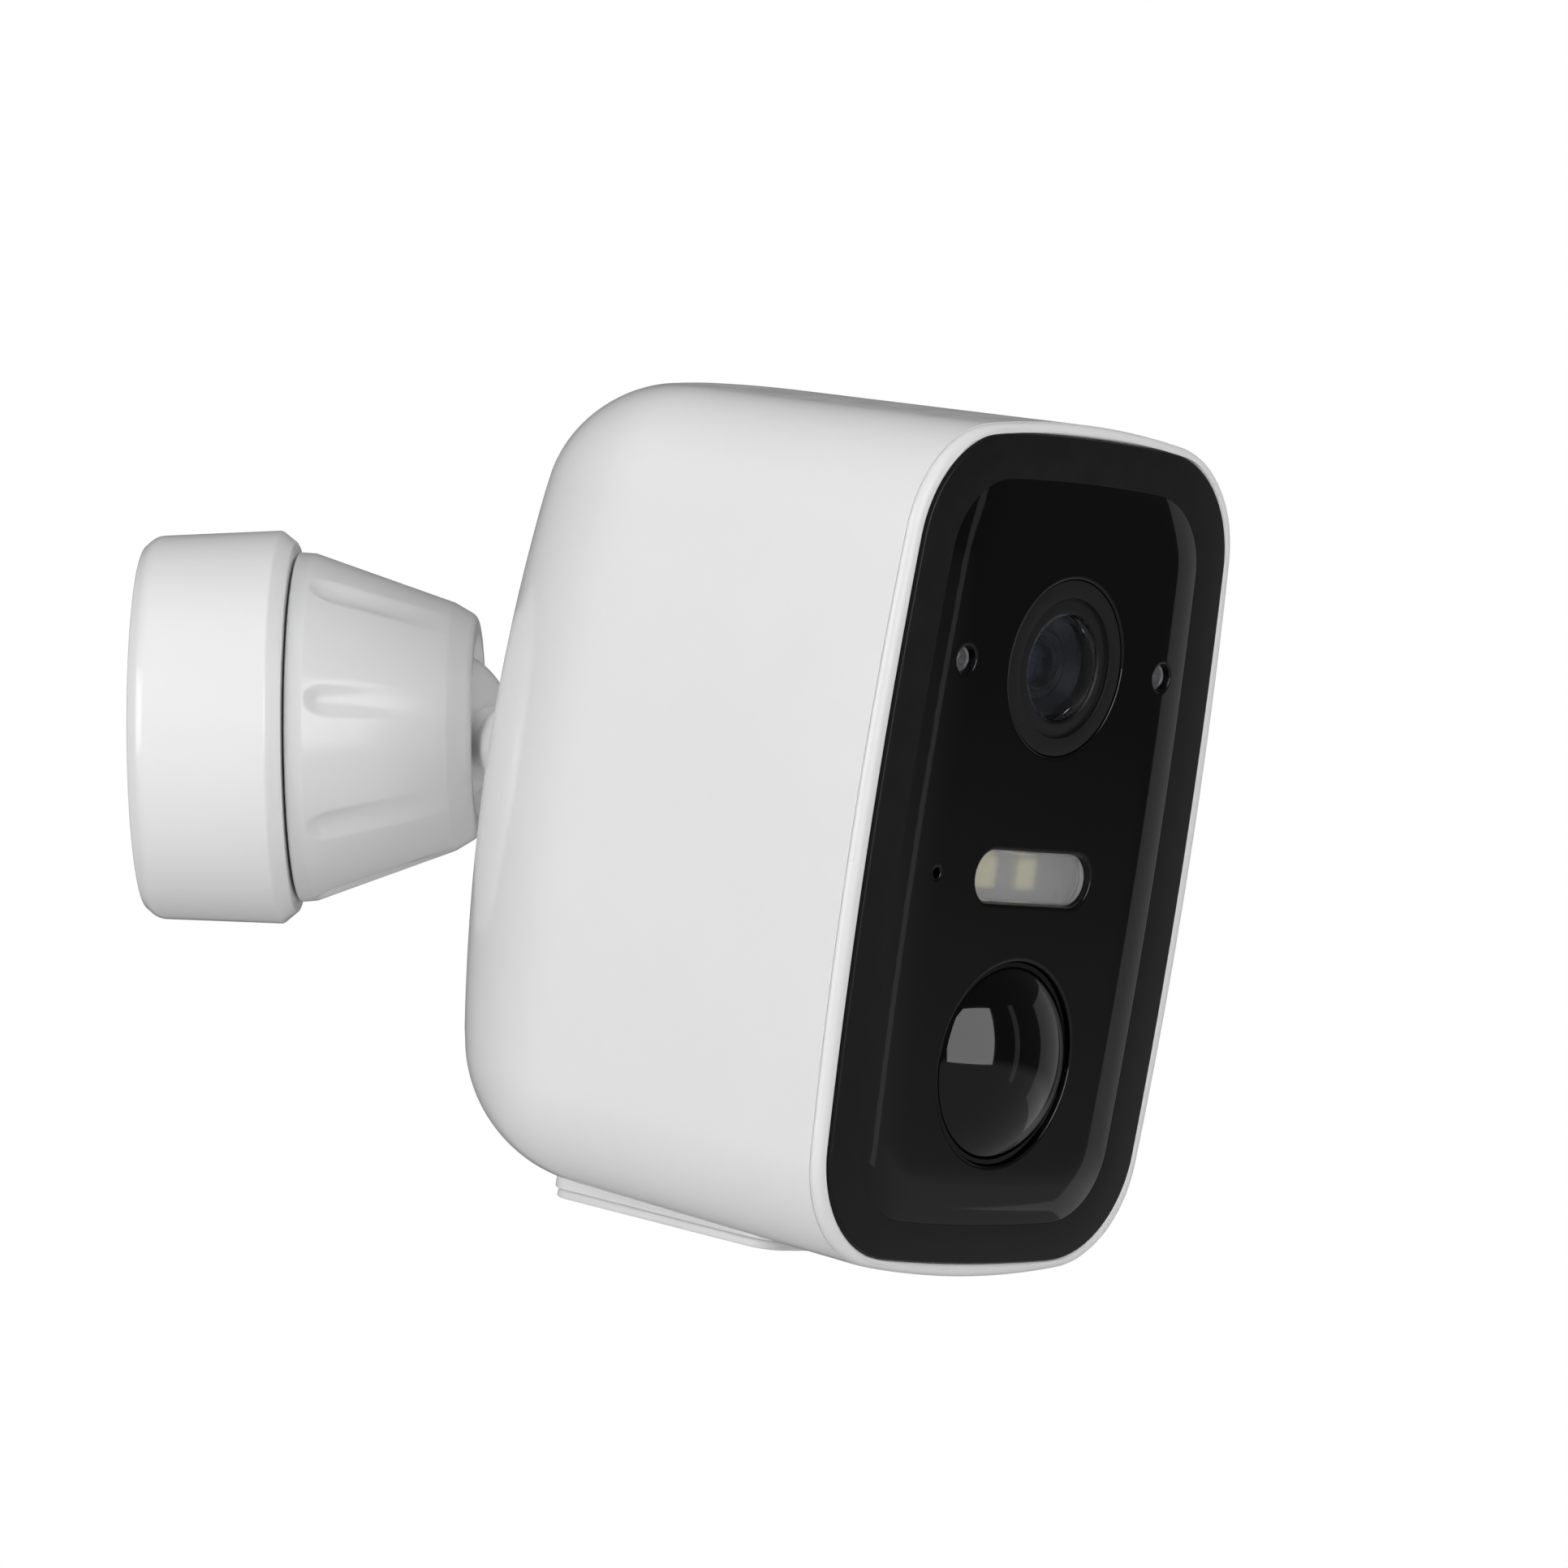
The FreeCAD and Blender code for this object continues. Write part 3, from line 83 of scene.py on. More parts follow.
MIC_SPOT = (-17.0, -2.7)
MIC_RADIUS = 0.6
SENSOR_SPOT = (0, -23.43)
PORT_MIDDLE = (19.5 + 52.6) / 2     # halfway between the port cover's front and back edges

EDGE_ANGLE = 35.0                   # degrees; edges that turn by more are shaded sharp
STEEP_ANGLE = 50.0                  # the same, where fewer edges are sharp: frames and the nut
WELD = 2e-7                         # metres
SLIVER = 1e-8                       # metres


# --- outlines ------------------------------------------------------------------------------

OUTLINE_STEPS = (12, 20, 10)        # points along the side, corner and cap of a quarter
ROUNDING_LIMIT = 0.49               # how much of a side one rounding may take


def quarter_arcs(half_width, height, side_bow, cap_bow, corner):
    """Centre, radius, start and end of the three arcs of a quarter of a bowed outline."""
    side = np.array([half_width - side_bow, 0.0])
    cap = np.array([0.0, height - cap_bow])
    near, far = side_bow - corner, cap_bow - corner
    span = cap - side
    length = np.hypot(*span)
    along = (near**2 - far**2 + length**2) / (2 * length)
    away = math.sqrt(near**2 - along**2)
    step = span / length
    across = np.array([-step[1], step[0]])
    centre = max((side + step * along + across * way for way in (away, -away)), key=lambda c: c[0])
    low = centre + (centre - side) / np.hypot(*(centre - side)) * corner
    high = centre + (centre - cap) / np.hypot(*(centre - cap)) * corner
    return [
        (side, side_bow, np.array([half_width, 0.0]), low),
        (centre, corner, low, high),
        (cap, cap_bow, high, np.array([0.0, height])),
    ]


def quarter_points(arcs, counts):
    """Points along a quarter outline, from its side to its top."""
    found = []
    for (centre, radius, first, last), count in zip(arcs, counts):
        start = math.atan2(*(first - centre)[::-1])
        stop = math.atan2(*(last - centre)[::-1])
        for i in range(count):
            angle = start + (stop - start) * i / count
            found.append(centre + radius * np.array([math.cos(angle), math.sin(angle)]))
    return np.array(found + [arcs[-1][3]])


def outline(shape, inset):
    """Closed bowed outline, moved inwards by the inset."""
    sizes = [shape[word] - inset for word in ("side_bow", "cap_bow", "corner")]
    halves = []
    for word in ("top", "bottom"):
        arcs = quarter_arcs(shape["half_width"] - inset, shape[word] - inset, *sizes)
        halves.append(quarter_points(arcs, OUTLINE_STEPS))
    above, below = halves
    parts = [
        above[:-1],
        (above * (-1, 1))[:0:-1],
        (below * (-1, -1))[:-1],
        (below * (1, -1))[:0:-1],
    ]
    return np.concatenate(parts)


def reach_at(height, arcs):
    """How far a quarter outline reaches across at one height."""
    for centre, radius, _, last in arcs:
        if height <= last[1] + 1e-9:
            return centre[0] + math.sqrt(max(radius**2 - (height - centre[1]) ** 2, 0))
    return 0.0


def softened(corners, steps, closed=True):
    """Outline through corners given as x, y and rounding radius."""
    count = len(corners)
    found = []
    for i, (x, y, radius) in enumerate(corners):
        here = np.array([x, y], float)
        if radius <= 0 or (not closed and i in (0, count - 1)):
            found.append(here)
            continue
        back = np.array(corners[i - 1][:2], float) - here
        ahead = np.array(corners[(i + 1) % count][:2], float) - here
        back_length, ahead_length = np.hypot(*back), np.hypot(*ahead)
        back, ahead = back / back_length, ahead / ahead_length
        half = math.acos(max(-1.0, min(1.0, float(back @ ahead)))) / 2
        reach = min(radius / math.tan(half), ROUNDING_LIMIT * min(back_length, ahead_length))
        inner = reach * math.tan(half)
        middle = here + (back + ahead) / np.hypot(*(back + ahead)) * inner / math.sin(half)
        first = here + back * reach - middle
        last = here + ahead * reach - middle
        start = math.atan2(first[1], first[0])
        turn = math.atan2(last[1], last[0]) - start
        turn = (turn + math.pi) % (2 * math.pi) - math.pi
        for k in range(steps + 1):
            angle = start + turn * k / steps
            found.append(middle + inner * np.array([math.cos(angle), math.sin(angle)]))
    return np.array(found)


def circle(radius, centre, steps):
    angles = np.arange(steps) * 2 * math.pi / steps
    return np.stack([centre[0] + radius * np.cos(angles), centre[1] + radius * np.sin(angles)], 1)


def pill(grown):
    """Outline of the spotlight, grown by a distance: two straight sides and two round ends."""
    steps = 24
    half_length, half_height = (half + grown for half in SPOTLIGHT_HALF)
    middle = half_length - half_height
    found = []
    for side in (1, -1):
        for k in range(steps + 1):
            angle = -math.pi / 2 + math.pi * k / steps + (0 if side > 0 else math.pi)
            across = side * middle + half_height * math.cos(angle)
            found.append((across, SPOTLIGHT_HEIGHT + half_height * math.sin(angle)))
    return np.array(found)


# --- meshes --------------------------------------------------------------------------------


def mesh_object(name, points, faces, place, sharp=EDGE_ANGLE):
    """Object at the origin, shaded smooth except over edges sharper than an angle."""
    mesh = bpy.data.meshes.new(name)
    mesh.from_pydata(np.asarray(points, float).tolist(), [], [list(map(int, f)) for f in faces])
    mesh.transform(place)
    work = bmesh.new()
    work.from_mesh(mesh)
    bmesh.ops.remove_doubles(work, verts=work.verts, dist=WELD)
    bmesh.ops.dissolve_degenerate(work, edges=work.edges, dist=SLIVER)
    bmesh.ops.recalc_face_normals(work, faces=work.faces)
    work.to_mesh(mesh)
    work.free()
    smooth(mesh, sharp)
    item = bpy.data.objects.new(name, mesh)
    scene.collection.objects.link(item)
    return item


def smooth(mesh, sharp):
    mesh.shade_smooth()
    mesh.set_sharp_from_angle(angle=math.radians(sharp))


def grid_faces(rows, columns, wrap_rows, wrap_columns):
    """Four-sided faces between the points of a grid."""
    found = []
    for i in range(rows if wrap_rows else rows - 1):
        here, up = i * columns, (i + 1) % rows * columns
        for k in range(columns if wrap_columns else columns - 1):
            right = (k + 1) % columns
            found.append((here + k, here + right, up + right, up + k))
    return found


def wrapped(name, rings, place, sharp):
    """Closed body through rings that form a loop."""
    rings = np.asarray(rings, float)
    rows, columns = rings.shape[:2]
    faces = grid_faces(rows, columns, True, True)
    return mesh_object(name, rings.reshape(-1, 3), faces, place, sharp)


def framed(name, section):
    """Frame of the head, from the outline, inset and depth of each corner of its section."""
    rings = []
    for shape, inset, depth in section:
        flat = outline(shape, inset)
        rings.append(np.stack([flat[:, 0], np.full(len(flat), depth), flat[:, 1]], 1))
    return wrapped(name, rings, HEAD, STEEP_ANGLE)


def turned(name, profile, place, centre=None, steps=120):
    """Turned body. The profile gives radius and depth, around z, or around y at a centre."""
    radius, depth = profile[:, 0], profile[:, 1]
    rings = []
    for angle in np.arange(steps) * 2 * math.pi / steps:
        first, second = radius * math.cos(angle), radius * math.sin(angle)
        if centre is None:
            rings.append(np.stack([first, second, depth], 1))
        else:
            rings.append(np.stack([centre[0] + first, depth, centre[1] + second], 1))
    return wrapped(name, rings, place, EDGE_ANGLE)


def cap_points(sphere, reach, apex, steps):
    """Radius and depth along a round cap, from its apex out to an angle."""
    angles = reach * np.arange(steps + 1) / steps
    return [(sphere * math.sin(a), apex + sphere * (1 - math.cos(a))) for a in angles]


def edge_distance(points, loop):
    """Distance from points to a closed loop, positive inside it."""
    first, last = loop, np.roll(loop, -1, axis=0)
    span = last - first
    rel = points[:, None, :] - first[None]
    part = np.clip((rel * span).sum(2) / (span**2).sum(1), 0, 1)
    near = np.hypot(*np.moveaxis(rel - part[..., None] * span, 2, 0)).min(1)
    crosses = (first[None, :, 1] > points[:, None, 1]) != (last[None, :, 1] > points[:, None, 1])
    slope = np.where(span[:, 1] == 0, 1e-12, span[:, 1])
    at = first[None, :, 0] + (points[:, None, 1] - first[None, :, 1]) / slope * span[None, :, 0]
    inside = (crosses & (points[:, None, 0] < at)).sum(1) % 2 == 1
    return np.where(inside, near, -near)


def in_plate(points, border, margin=0.0):
    """Which points are inside the first loop and outside the others, by a margin."""
    found = edge_distance(points, border[0]) > margin
    for loop in border[1:]:
        found &= edge_distance(points, loop) < -margin
    return found


def inner_points(border, spacing, margin):
    """Evenly spaced points, in staggered rows, that stay clear of a plate's edges."""
    low, high = border[0].min(0), border[0].max(0)
    row_pitch = 0.866 * spacing
    rows = []
    for number, z in enumerate(np.arange(low[1], high[1], row_pitch)):
        xs = np.arange(low[0] + (number % 2) * spacing / 2, high[0], spacing)
        rows.append(np.stack([xs, np.full(len(xs), z)], 1))
    points = np.concatenate(rows)
    return points[in_plate(points, border, margin)]


def side_faces(triangles, total):
    """Faces between a plate's front and back, along the edges that only one triangle has."""
    uses = {}
    for t in triangles:
        for a, b in ((t[0], t[1]), (t[1], t[2]), (t[2], t[0])):
            uses.setdefault((min(a, b), max(a, b)), []).append((a, b))
    single = [pairs[0] for pairs in uses.values() if len(pairs) == 1]
    return [(b, a, a + total, b + total) for a, b in single]


def plate(name, outer, holes, depth_at, back, spacing, edge, round_rim=True):
    """Plate of the head, square to y, with openings and edges rounded to a radius.

    outer and every hole are functions that give their loop moved into the plate by a distance.
    depth_at gives the front's depth from the points and their distance to the rim.
    """
    # Loops close to each edge carry its rounding; the other points stay clear of them.
    offsets = [0.0, 0.1 * edge, 0.35 * edge, 0.7 * edge, edge, 2.2 * edge]
    loops = [[make(offset) for offset in offsets] for make in [outer, *holes]]
    border = [family[0] for family in loops]
    stack, links, start = [], [], 0
    for family in loops:
        for loop in family:
            count = len(loop)
            stack.append(loop)
            links += [(start + i, start + (i + 1) % count) for i in range(count)]
            start += count
    margin = 2.6 * edge + 0.3 * spacing
    flat = np.concatenate([*stack, inner_points(border, spacing, margin)])
    result = delaunay_2d_cdt([Vector(p) for p in flat], links, [], 0, 1e-7)
    points = np.array([tuple(p) for p in result[0]])
    triangles = np.array(result[2])
    triangles = triangles[in_plate(points[triangles].mean(1), border)]
    rounding = np.zeros(len(points))
    for loop in border if round_rim else border[1:]:
        away = np.abs(edge_distance(points, loop))
        drop = edge - np.sqrt(np.maximum(edge**2 - np.maximum(edge - away, 0) ** 2, 0))
        rounding = np.maximum(rounding, drop)
    depth = depth_at(points, edge_distance(points, border[0])) + rounding
    front = np.stack([points[:, 0], depth, points[:, 1]], 1)
    rear = np.stack([points[:, 0], np.full(len(points), back), points[:, 1]], 1)
    total = len(points)
    faces = [tuple(t) for t in triangles] + [tuple(t[::-1] + total) for t in triangles]
    faces += side_faces(triangles, total)
    return mesh_object(name, np.concatenate([front, rear]), faces, HEAD)


def rounded_box(name, centre, lengths, corner, edge, along="z"):
    """Block of the head with round corners along one axis, and softened rims at its ends."""
    order = {"z": (0, 1, 2), "y": (0, 2, 1)}[along]
    half = [lengths[i] / 2 for i in order]
    middle = [centre[i] for i in order]
    steps = 6
    levels = []
    for k in range(steps + 1):
        angle = math.pi / 2 * k / steps
        levels.append((edge * (1 - math.sin(angle)), -half[2] + edge * (1 - math.cos(angle))))
    levels += [(inset, -height) for inset, height in reversed(levels)]
    rings = []
    for inset, height in levels:
        corners = [
            (sx * (half[0] - inset), sy * (half[1] - inset), max(corner - inset, 0.01))
            for sx, sy in ((1, -1), (1, 1), (-1, 1), (-1, -1))
        ]
        flat = softened(corners, steps)
        ends = np.full(len(flat), middle[2] + height)
        drawn = [flat[:, 0] + middle[0], flat[:, 1] + middle[1], ends]
        rings.append(np.stack([drawn[i] for i in order], 1))
    rings = np.array(rings)
    rows, columns = rings.shape[:2]
    faces = grid_faces(rows, columns, False, True)
    faces.append(tuple(range(columns)))
    faces.append(tuple((rows - 1) * columns + k for k in reversed(range(columns))))
    return mesh_object(name, rings.reshape(-1, 3), faces, HEAD)


def bars(name, spots, radius, low, high, steps):
    """Upright round bars of the head in one object, as cutters for holes."""
    points, faces = [], []
    for spot in spots:
        base = len(points)
        top = base + steps
        points += [(x, y, z) for z in (low, high) for x, y in circle(radius, spot, steps)]
        for i in range(steps):
            after = (i + 1) % steps
            faces.append((base + i, base + after, top + after, top + i))
        faces.append(tuple(base + i for i in reversed(range(steps))))
        faces.append(tuple(top + i for i in range(steps)))
    return mesh_object(name, points, faces, HEAD)


def joined(name, *items):
    """One object from several."""
    work = bmesh.new()
    for item in items:
        work.from_mesh(item.data)
    mesh = bpy.data.meshes.new(name)
    work.to_mesh(mesh)
    work.free()
    smooth(mesh, EDGE_ANGLE)
    for item in items:
        bpy.data.objects.remove(item)
    result = bpy.data.objects.new(name, mesh)
    scene.collection.objects.link(result)
    return result


def settle(item):
    """Turn the modifiers of an object into its mesh."""
    bpy.context.view_layer.update()
    graph = bpy.context.evaluated_depsgraph_get()
    mesh = bpy.data.meshes.new_from_object(item.evaluated_get(graph), depsgraph=graph)
    item.modifiers.clear()
    item.data = mesh
    smooth(mesh, EDGE_ANGLE)


def carve(item, tool, way="DIFFERENCE"):
    """Cut a tool out of an object, or join it on, and remove the tool."""
    step = item.modifiers.new(tool.name, "BOOLEAN")
    step.operation = way
    step.solver = "EXACT"
    step.object = tool
    settle(item)
    bpy.data.objects.remove(tool)


# --- materials -----------------------------------------------------------------------------

NOISE_LOW, NOISE_HIGH = 0.3, 0.7    # the range that nearly all of the noise lies in
NOISE_ROUGHNESS = 0.55
GLOSS_PATCH = 0.4                   # size of the gloss's pattern, as a part of the colour's


def finish_of(
    name, colour, roughness, spread, mottle, mottle_size=12.0, grain=0.0, grain_size=0.6, **fixed
):
    """Principled material with noise in its colour, its roughness and its surface.

    The roughness varies by spread, and the colour by mottle, as a part of itself. The sizes are
    those of the patterns, in millimetres; grain is the relief's height in micrometres. Other
    inputs of the shader are given by name, and are the same all over.
    """
    made = bpy.data.materials.new(name)
    made.use_nodes = True
    tree = made.node_tree
    shader = tree.nodes["Principled BSDF"]
    for socket, value in fixed.items():
        shader.inputs[socket.replace("_", " ")].default_value = value
    where = tree.nodes.new("ShaderNodeTexCoord")

    def noise(size, detail):
        node = tree.nodes.new("ShaderNodeTexNoise")
        node.inputs["Scale"].default_value = 1.0 / (size * MM)
        node.inputs["Detail"].default_value = detail
        node.inputs["Roughness"].default_value = NOISE_ROUGHNESS
        tree.links.new(where.outputs["Object"], node.inputs["Vector"])
        return node

    base = np.array(colour, float)
    shader.inputs["Base Color"].default_value = (*base, 1)
    if mottle:
        patches = noise(mottle_size, 4)
        ramp = tree.nodes.new("ShaderNodeValToRGB")
        for end, position, way in ((0, NOISE_LOW, -1), (1, NOISE_HIGH, 1)):
            ramp.color_ramp.elements[end].position = position
            ramp.color_ramp.elements[end].color = (*np.clip(base * (1 + way * mottle), 0, 1), 1)
        tree.links.new(patches.outputs["Fac"], ramp.inputs["Fac"])
        tree.links.new(ramp.outputs["Color"], shader.inputs["Base Color"])
    gloss = noise(mottle_size * GLOSS_PATCH, 3)
    level = tree.nodes.new("ShaderNodeMapRange")
    level.inputs["From Min"].default_value = NOISE_LOW
    level.inputs["From Max"].default_value = NOISE_HIGH
    level.inputs["To Min"].default_value = max(roughness - spread, 0.0)
    level.inputs["To Max"].default_value = min(roughness + spread, 1.0)
    tree.links.new(gloss.outputs["Fac"], level.inputs["Value"])
    tree.links.new(level.outputs["Result"], shader.inputs["Roughness"])
    if grain:
        relief = noise(grain_size, 2)
        bump = tree.nodes.new("ShaderNodeBump")
        bump.inputs["Strength"].default_value = 1.0
        bump.inputs["Distance"].default_value = grain * MICROMETRE
        tree.links.new(relief.outputs["Fac"], bump.inputs["Height"])
        tree.links.new(bump.outputs["Normal"], shader.inputs["Normal"])
    return made


WHITE = finish_of("white_plastic", (0.83, 0.83, 0.83), 0.16, 0.03, 0.008, 14, 3.0, 1.6)
# Darker copy of the white plastic for the nut, the ball stud and the wall plate: painted shade, so
# that these parts look as dim as the light leaves them.
SHADED_WHITE = finish_of("white_plastic_painted_shade", (0.765, 0.765, 0.77), 0.2, 0.04, 0.01, 9, 4.0, 1.2)
# Darker copy of the white plastic for the rim: painted shade that tones down the bright highlight on
# its rounded edge.
SHADED_RIM_WHITE = finish_of("white_plastic_rim_painted_shade", (0.76, 0.76, 0.765), 0.3, 0.03, 0.006, 10, 3.0, 1.4)
BLACK_SATIN = finish_of(
    "black_satin_plastic", (0.0072, 0.0072, 0.0077), 0.34, 0.04, 0.08, 6, 3.0, 0.25,
    Specular_IOR_Level=0.24,
)
BLACK_GLOSS = finish_of(
    "black_gloss_plastic", (0.002, 0.002, 0.0023), 0.05, 0.015, 0.1, 18, 0.6, 3.0
)
DARK = finish_of("dark_plastic", (0.03, 0.03, 0.032), 0.5, 0.06, 0.12, 4, 6.0, 0.35)
LENS_BLACK = finish_of(
    "lens_black", (0.006, 0.006, 0.0065), 0.42, 0.04, 0.1, 3, 2.0, 0.2, Specular_IOR_Level=0.28
)
TUBE_BLACK = finish_of(
    "tube_black", (0.0025, 0.0025, 0.0028), 0.35, 0.04, 0.1, 3, 2.0, 0.2, Specular_IOR_Level=0.12
)
GLASS = finish_of(
    "lens_glass", (0.66, 0.70, 0.76), 0.06, 0.02, 0.0, Transmission_Weight=1.0, IOR=1.12
)
COATED = finish_of("coated_glass", (0.02, 0.028, 0.035), 0.05, 0.02, 0.2, 3)
FROSTED = finish_of(
    "frosted_lens", (0.82, 0.82, 0.82), 0.22, 0.03, 0.01, 2, Transmission_Weight=0.85, IOR=1.45
)
CLEAR = finish_of(
    "clear_lamp_lens", (0.93, 0.94, 0.96), 0.06, 0.02, 0.0, Transmission_Weight=1.0, IOR=1.35
)
PHOSPHOR = finish_of("lamp_phosphor", (0.92, 0.84, 0.44), 0.45, 0.05, 0.1, 0.6, 8.0, 0.1)
REFLECTOR = finish_of("lamp_reflector", (0.17, 0.17, 0.18), 0.3, 0.05, 0.03, 2, 4.0, 0.3)
LAMP_CUP = finish_of("lamp_cup", (0.12, 0.12, 0.125), 0.25, 0.04, 0.05, 1, 2.0, 0.2)
METAL = finish_of("nickel_plate", (0.60, 0.59, 0.57), 0.28, 0.06, 0.04, 2, 3.0, 0.2, Metallic=1.0)
STEEL = finish_of("bright_steel", (0.56, 0.57, 0.58), 0.24, 0.06, 0.05, 1.5, 4.0, 0.15, Metallic=1.0)
BRASS = finish_of("brass", (0.70, 0.50, 0.22), 0.26, 0.06, 0.08, 1.5, 4.0, 0.2, Metallic=1.0)
COPPER = finish_of("copper_foil", (0.72, 0.40, 0.25), 0.3, 0.08, 0.08, 2, 3.0, 0.3, Metallic=1.0)
BOARD = finish_of("solder_mask", (0.012, 0.09, 0.035), 0.35, 0.05, 0.25, 1.2, 10.0, 0.5)
CELL = finish_of("cell_sleeve", (0.05, 0.16, 0.42), 0.3, 0.05, 0.05, 8, 3.0, 0.8)
RUBBER_BLACK = finish_of("black_rubber", (0.02, 0.02, 0.021), 0.7, 0.08, 0.15, 2, 12.0, 0.15)
RUBBER_WHITE = finish_of("white_rubber", (0.79, 0.79, 0.785), 0.34, 0.05, 0.015, 6, 8.0, 0.25)
GREY = finish_of("grey_plastic", (0.30, 0.30, 0.31), 0.4, 0.05, 0.05, 4, 5.0, 0.4)

NODE_FINISH = {
    "wall_plate": SHADED_WHITE,
    "pressure_ring": GREY,
    "stud_screw": STEEL,
    "mount_insert": BRASS,
    "seal_gasket": RUBBER_BLACK,
    "inner_frame": DARK,
    "case_screws": STEEL,
    "inner_lens": COATED,
    "lens_holder": DARK,
    "image_sensor": BOARD,
    "pir_sensor": METAL,
    "microphone": METAL,
    "front_board": BOARD,
    "main_board": BOARD,
    "io_board": BOARD,
    "antenna": COPPER,
    "battery_cells": CELL,
    "battery_tray": DARK,
    "speaker": DARK,
    "usb_port": METAL,
    "card_socket": METAL,
    "memory_card": DARK,
    "reset_button": GREY,
    "power_button": GREY,
}
for node_name, node_finish in NODE_FINISH.items():
    node_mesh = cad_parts[node_name].data
    for index in range(len(node_mesh.materials)):
        node_mesh.materials[index] = node_finish


def dress(item, finish, body, slot_name, *replaced):
    """Give a piece its material and its body, and hide the CAD nodes it stands for. slot_name is not
    used.
    """
    item.data.materials.clear()
    item.data.materials.append(finish)
    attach(item, body)
    if replaced:
        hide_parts(*replaced)


# --- bracket -------------------------------------------------------------------------------
# Corners of a turned profile are given as radius, place along the axis and rounding.


def make_cover():
    """Round wall cover: a side with chamfered rims, and a front with an opening for the socket."""
    corners = [
        (20.3, 0.0, 0.2), (21.1, 0.0, 0.7), (22.4, 1.5, 2.4), (22.98, 16.0, 0.6), (21.6, 17.7, 0.5),
        (15.7, 17.7, 0.3), (15.7, 15.5, 0.2), (20.3, 15.5, 0.6),
    ]
    cover = turned("wall_cover", softened(corners, 8), WALL, steps=180)
    dress(cover, WHITE, "bracket", "white_shell", "bracket_base")


def divided(profile, spacing, beyond):
    """Closed profile with more points where it lies beyond a radius."""
    found = []
    for here, after in zip(profile, np.roll(profile, -1, axis=0)):
        outside = here[0] > beyond and after[0] > beyond
        count = max(1, int(np.hypot(*(after - here)) / spacing)) if outside else 1
        found += [here + (after - here) * k / count for k in range(count)]
    return np.array(found)


def make_nut():
    """Conical nut with grip flutes that start round and deep, and fade towards the ball."""
    corners = [
        (14.9, 18.2, 0.3), (19.6, 17.9, 0.3), (20.45, 18.1, 0.5), (20.3, 20.0, 1.5), (14.5, 36.2, 2.2),
        (12.9, 38.9, 1.3), (10.9, 38.9, 0.3), (8.98, 37.3, 0.3), (8.98, 36.6, 0.1), (11.56, 36.6, 0.1),
        (11.56, 31.3, 0.3), (14.9, 27.8, 0.5),
    ]
    profile = divided(softened(corners, 8), spacing=0.45, beyond=12.5)
    radius, height = profile[:, 0], profile[:, 1]
    wide, narrow, cone_start, cone_length = 20.25, 14.5, 20.2, 16.0
    cone = wide + (narrow - wide) * (height - cone_start) / cone_length
    flutes, first_flute = 8, math.radians(174.6)
    flute_start, flute_end, flute_depth, flute_half = 20.5, 36.6, 1.0, 2.0
    lead, ramp_length, round_length, skin, fade, hollow = 0.45, 1.6, 2.2, 1.2, 1.15, 1.25
    on_cone = (height > flute_start - lead) & (height < flute_end) & (radius > cone - skin)
    part = np.clip((height - flute_start) / (flute_end - flute_start), 0, 1)
    ramp = np.clip((height - flute_start + lead) / ramp_length, 0, 1)
    deep = flute_depth * (1 - part) ** fade * (ramp**2 * (3 - 2 * ramp))
    opening = np.sqrt(np.clip((height - flute_start + lead) / round_length, 1e-4, 1))
    pitch = 2 * math.pi / flutes
    steps = 384
    rings = []
    for step in range(steps):
        angle = 2 * math.pi * step / steps
        off = (angle - first_flute + pitch / 2) % pitch - pitch / 2
        spread = np.abs(off * radius) / (flute_half * opening)
        trough = np.clip(1 - spread**2, 0, 1) ** hollow
        cut = np.where(on_cone, radius - deep * trough, radius)
        rings.append(np.stack([cut * math.cos(angle), cut * math.sin(angle), height], 1))
    nut = wrapped("grip_nut", rings, WALL, STEEP_ANGLE)
    dress(nut, SHADED_WHITE, "nut", "white_shell", "clamp_nut")


def make_stud():
    """Ball, neck and flange."""
    ball_radius, neck, flange, flange_front, steps = 9.47, 3.7, 8.5, 71.95, 48
    turn = math.pi - math.asin(neck / ball_radius)
    profile = [(0.0, BALL_BEHIND_FRONT + ball_radius)]
    for k in range(1, steps + 1):
        angle = turn * k / steps
        depth = BALL_BEHIND_FRONT + ball_radius * math.cos(angle)
        profile.append((ball_radius * math.sin(angle), depth))
    tail = softened(
        [
            (*profile[-1], 0), (neck, 81.0, 2.5), (7.4, 75.2, 3.0), (flange, 73.9, 0.5),
            (flange, flange_front, 0.2), (0.0, flange_front, 0),
        ],
        8,
        closed=False,
    )
    profile = np.array(profile + [tuple(p) for p in tail[1:]])
    stud = turned("ball_joint", profile, HEAD, (0, 0))
    dress(stud, SHADED_WHITE, "stud", "white_shell", "ball_stud")


# --- housing -------------------------------------------------------------------------------
# Corners of a frame's section are given as outline, inset and depth.


def housing_grid():
    """Outer skin of the deep shell, D-shaped in plan, as rows from the top to the bottom."""
    back_half_width, back_bow = 29.0, 190
    side_steps, turn_steps, row_steps = 14, 96, (14, 22, 12)
    straight = BODY_FRONT + (BACK_START - BODY_FRONT) * np.arange(side_steps) / side_steps
    turn = math.pi * np.arange(turn_steps + 1) / turn_steps
    halves = []
    for up, word, back_corner, taper in ((1, "top", 17.6, 0.0354), (-1, "bottom", 19.4, 0.0289)):
        height, cap_bow = BODY[word], BODY["cap_bow"]
        face = quarter_arcs(BODY["half_width"], height, BODY["side_bow"], cap_bow, BODY["corner"])
        back = quarter_arcs(back_half_width, height, back_bow, cap_bow, back_corner)
        rows = []
        for half_width, level in quarter_points(face, row_steps):
            side = np.full(side_steps, half_width)
            x = np.concatenate([side, half_width * np.cos(turn), -side])
            round_back = BACK_START + reach_at(level, back) * np.sin(turn)
            y = np.concatenate([straight, round_back, straight[::-1]])
            z = up * level * (1 - taper / height * (y - BODY_FRONT))
            rows.append(np.stack([x, y, z], 1))
        halves.append(rows)
    above, below = halves
    return np.array(above[::-1] + below[1:])


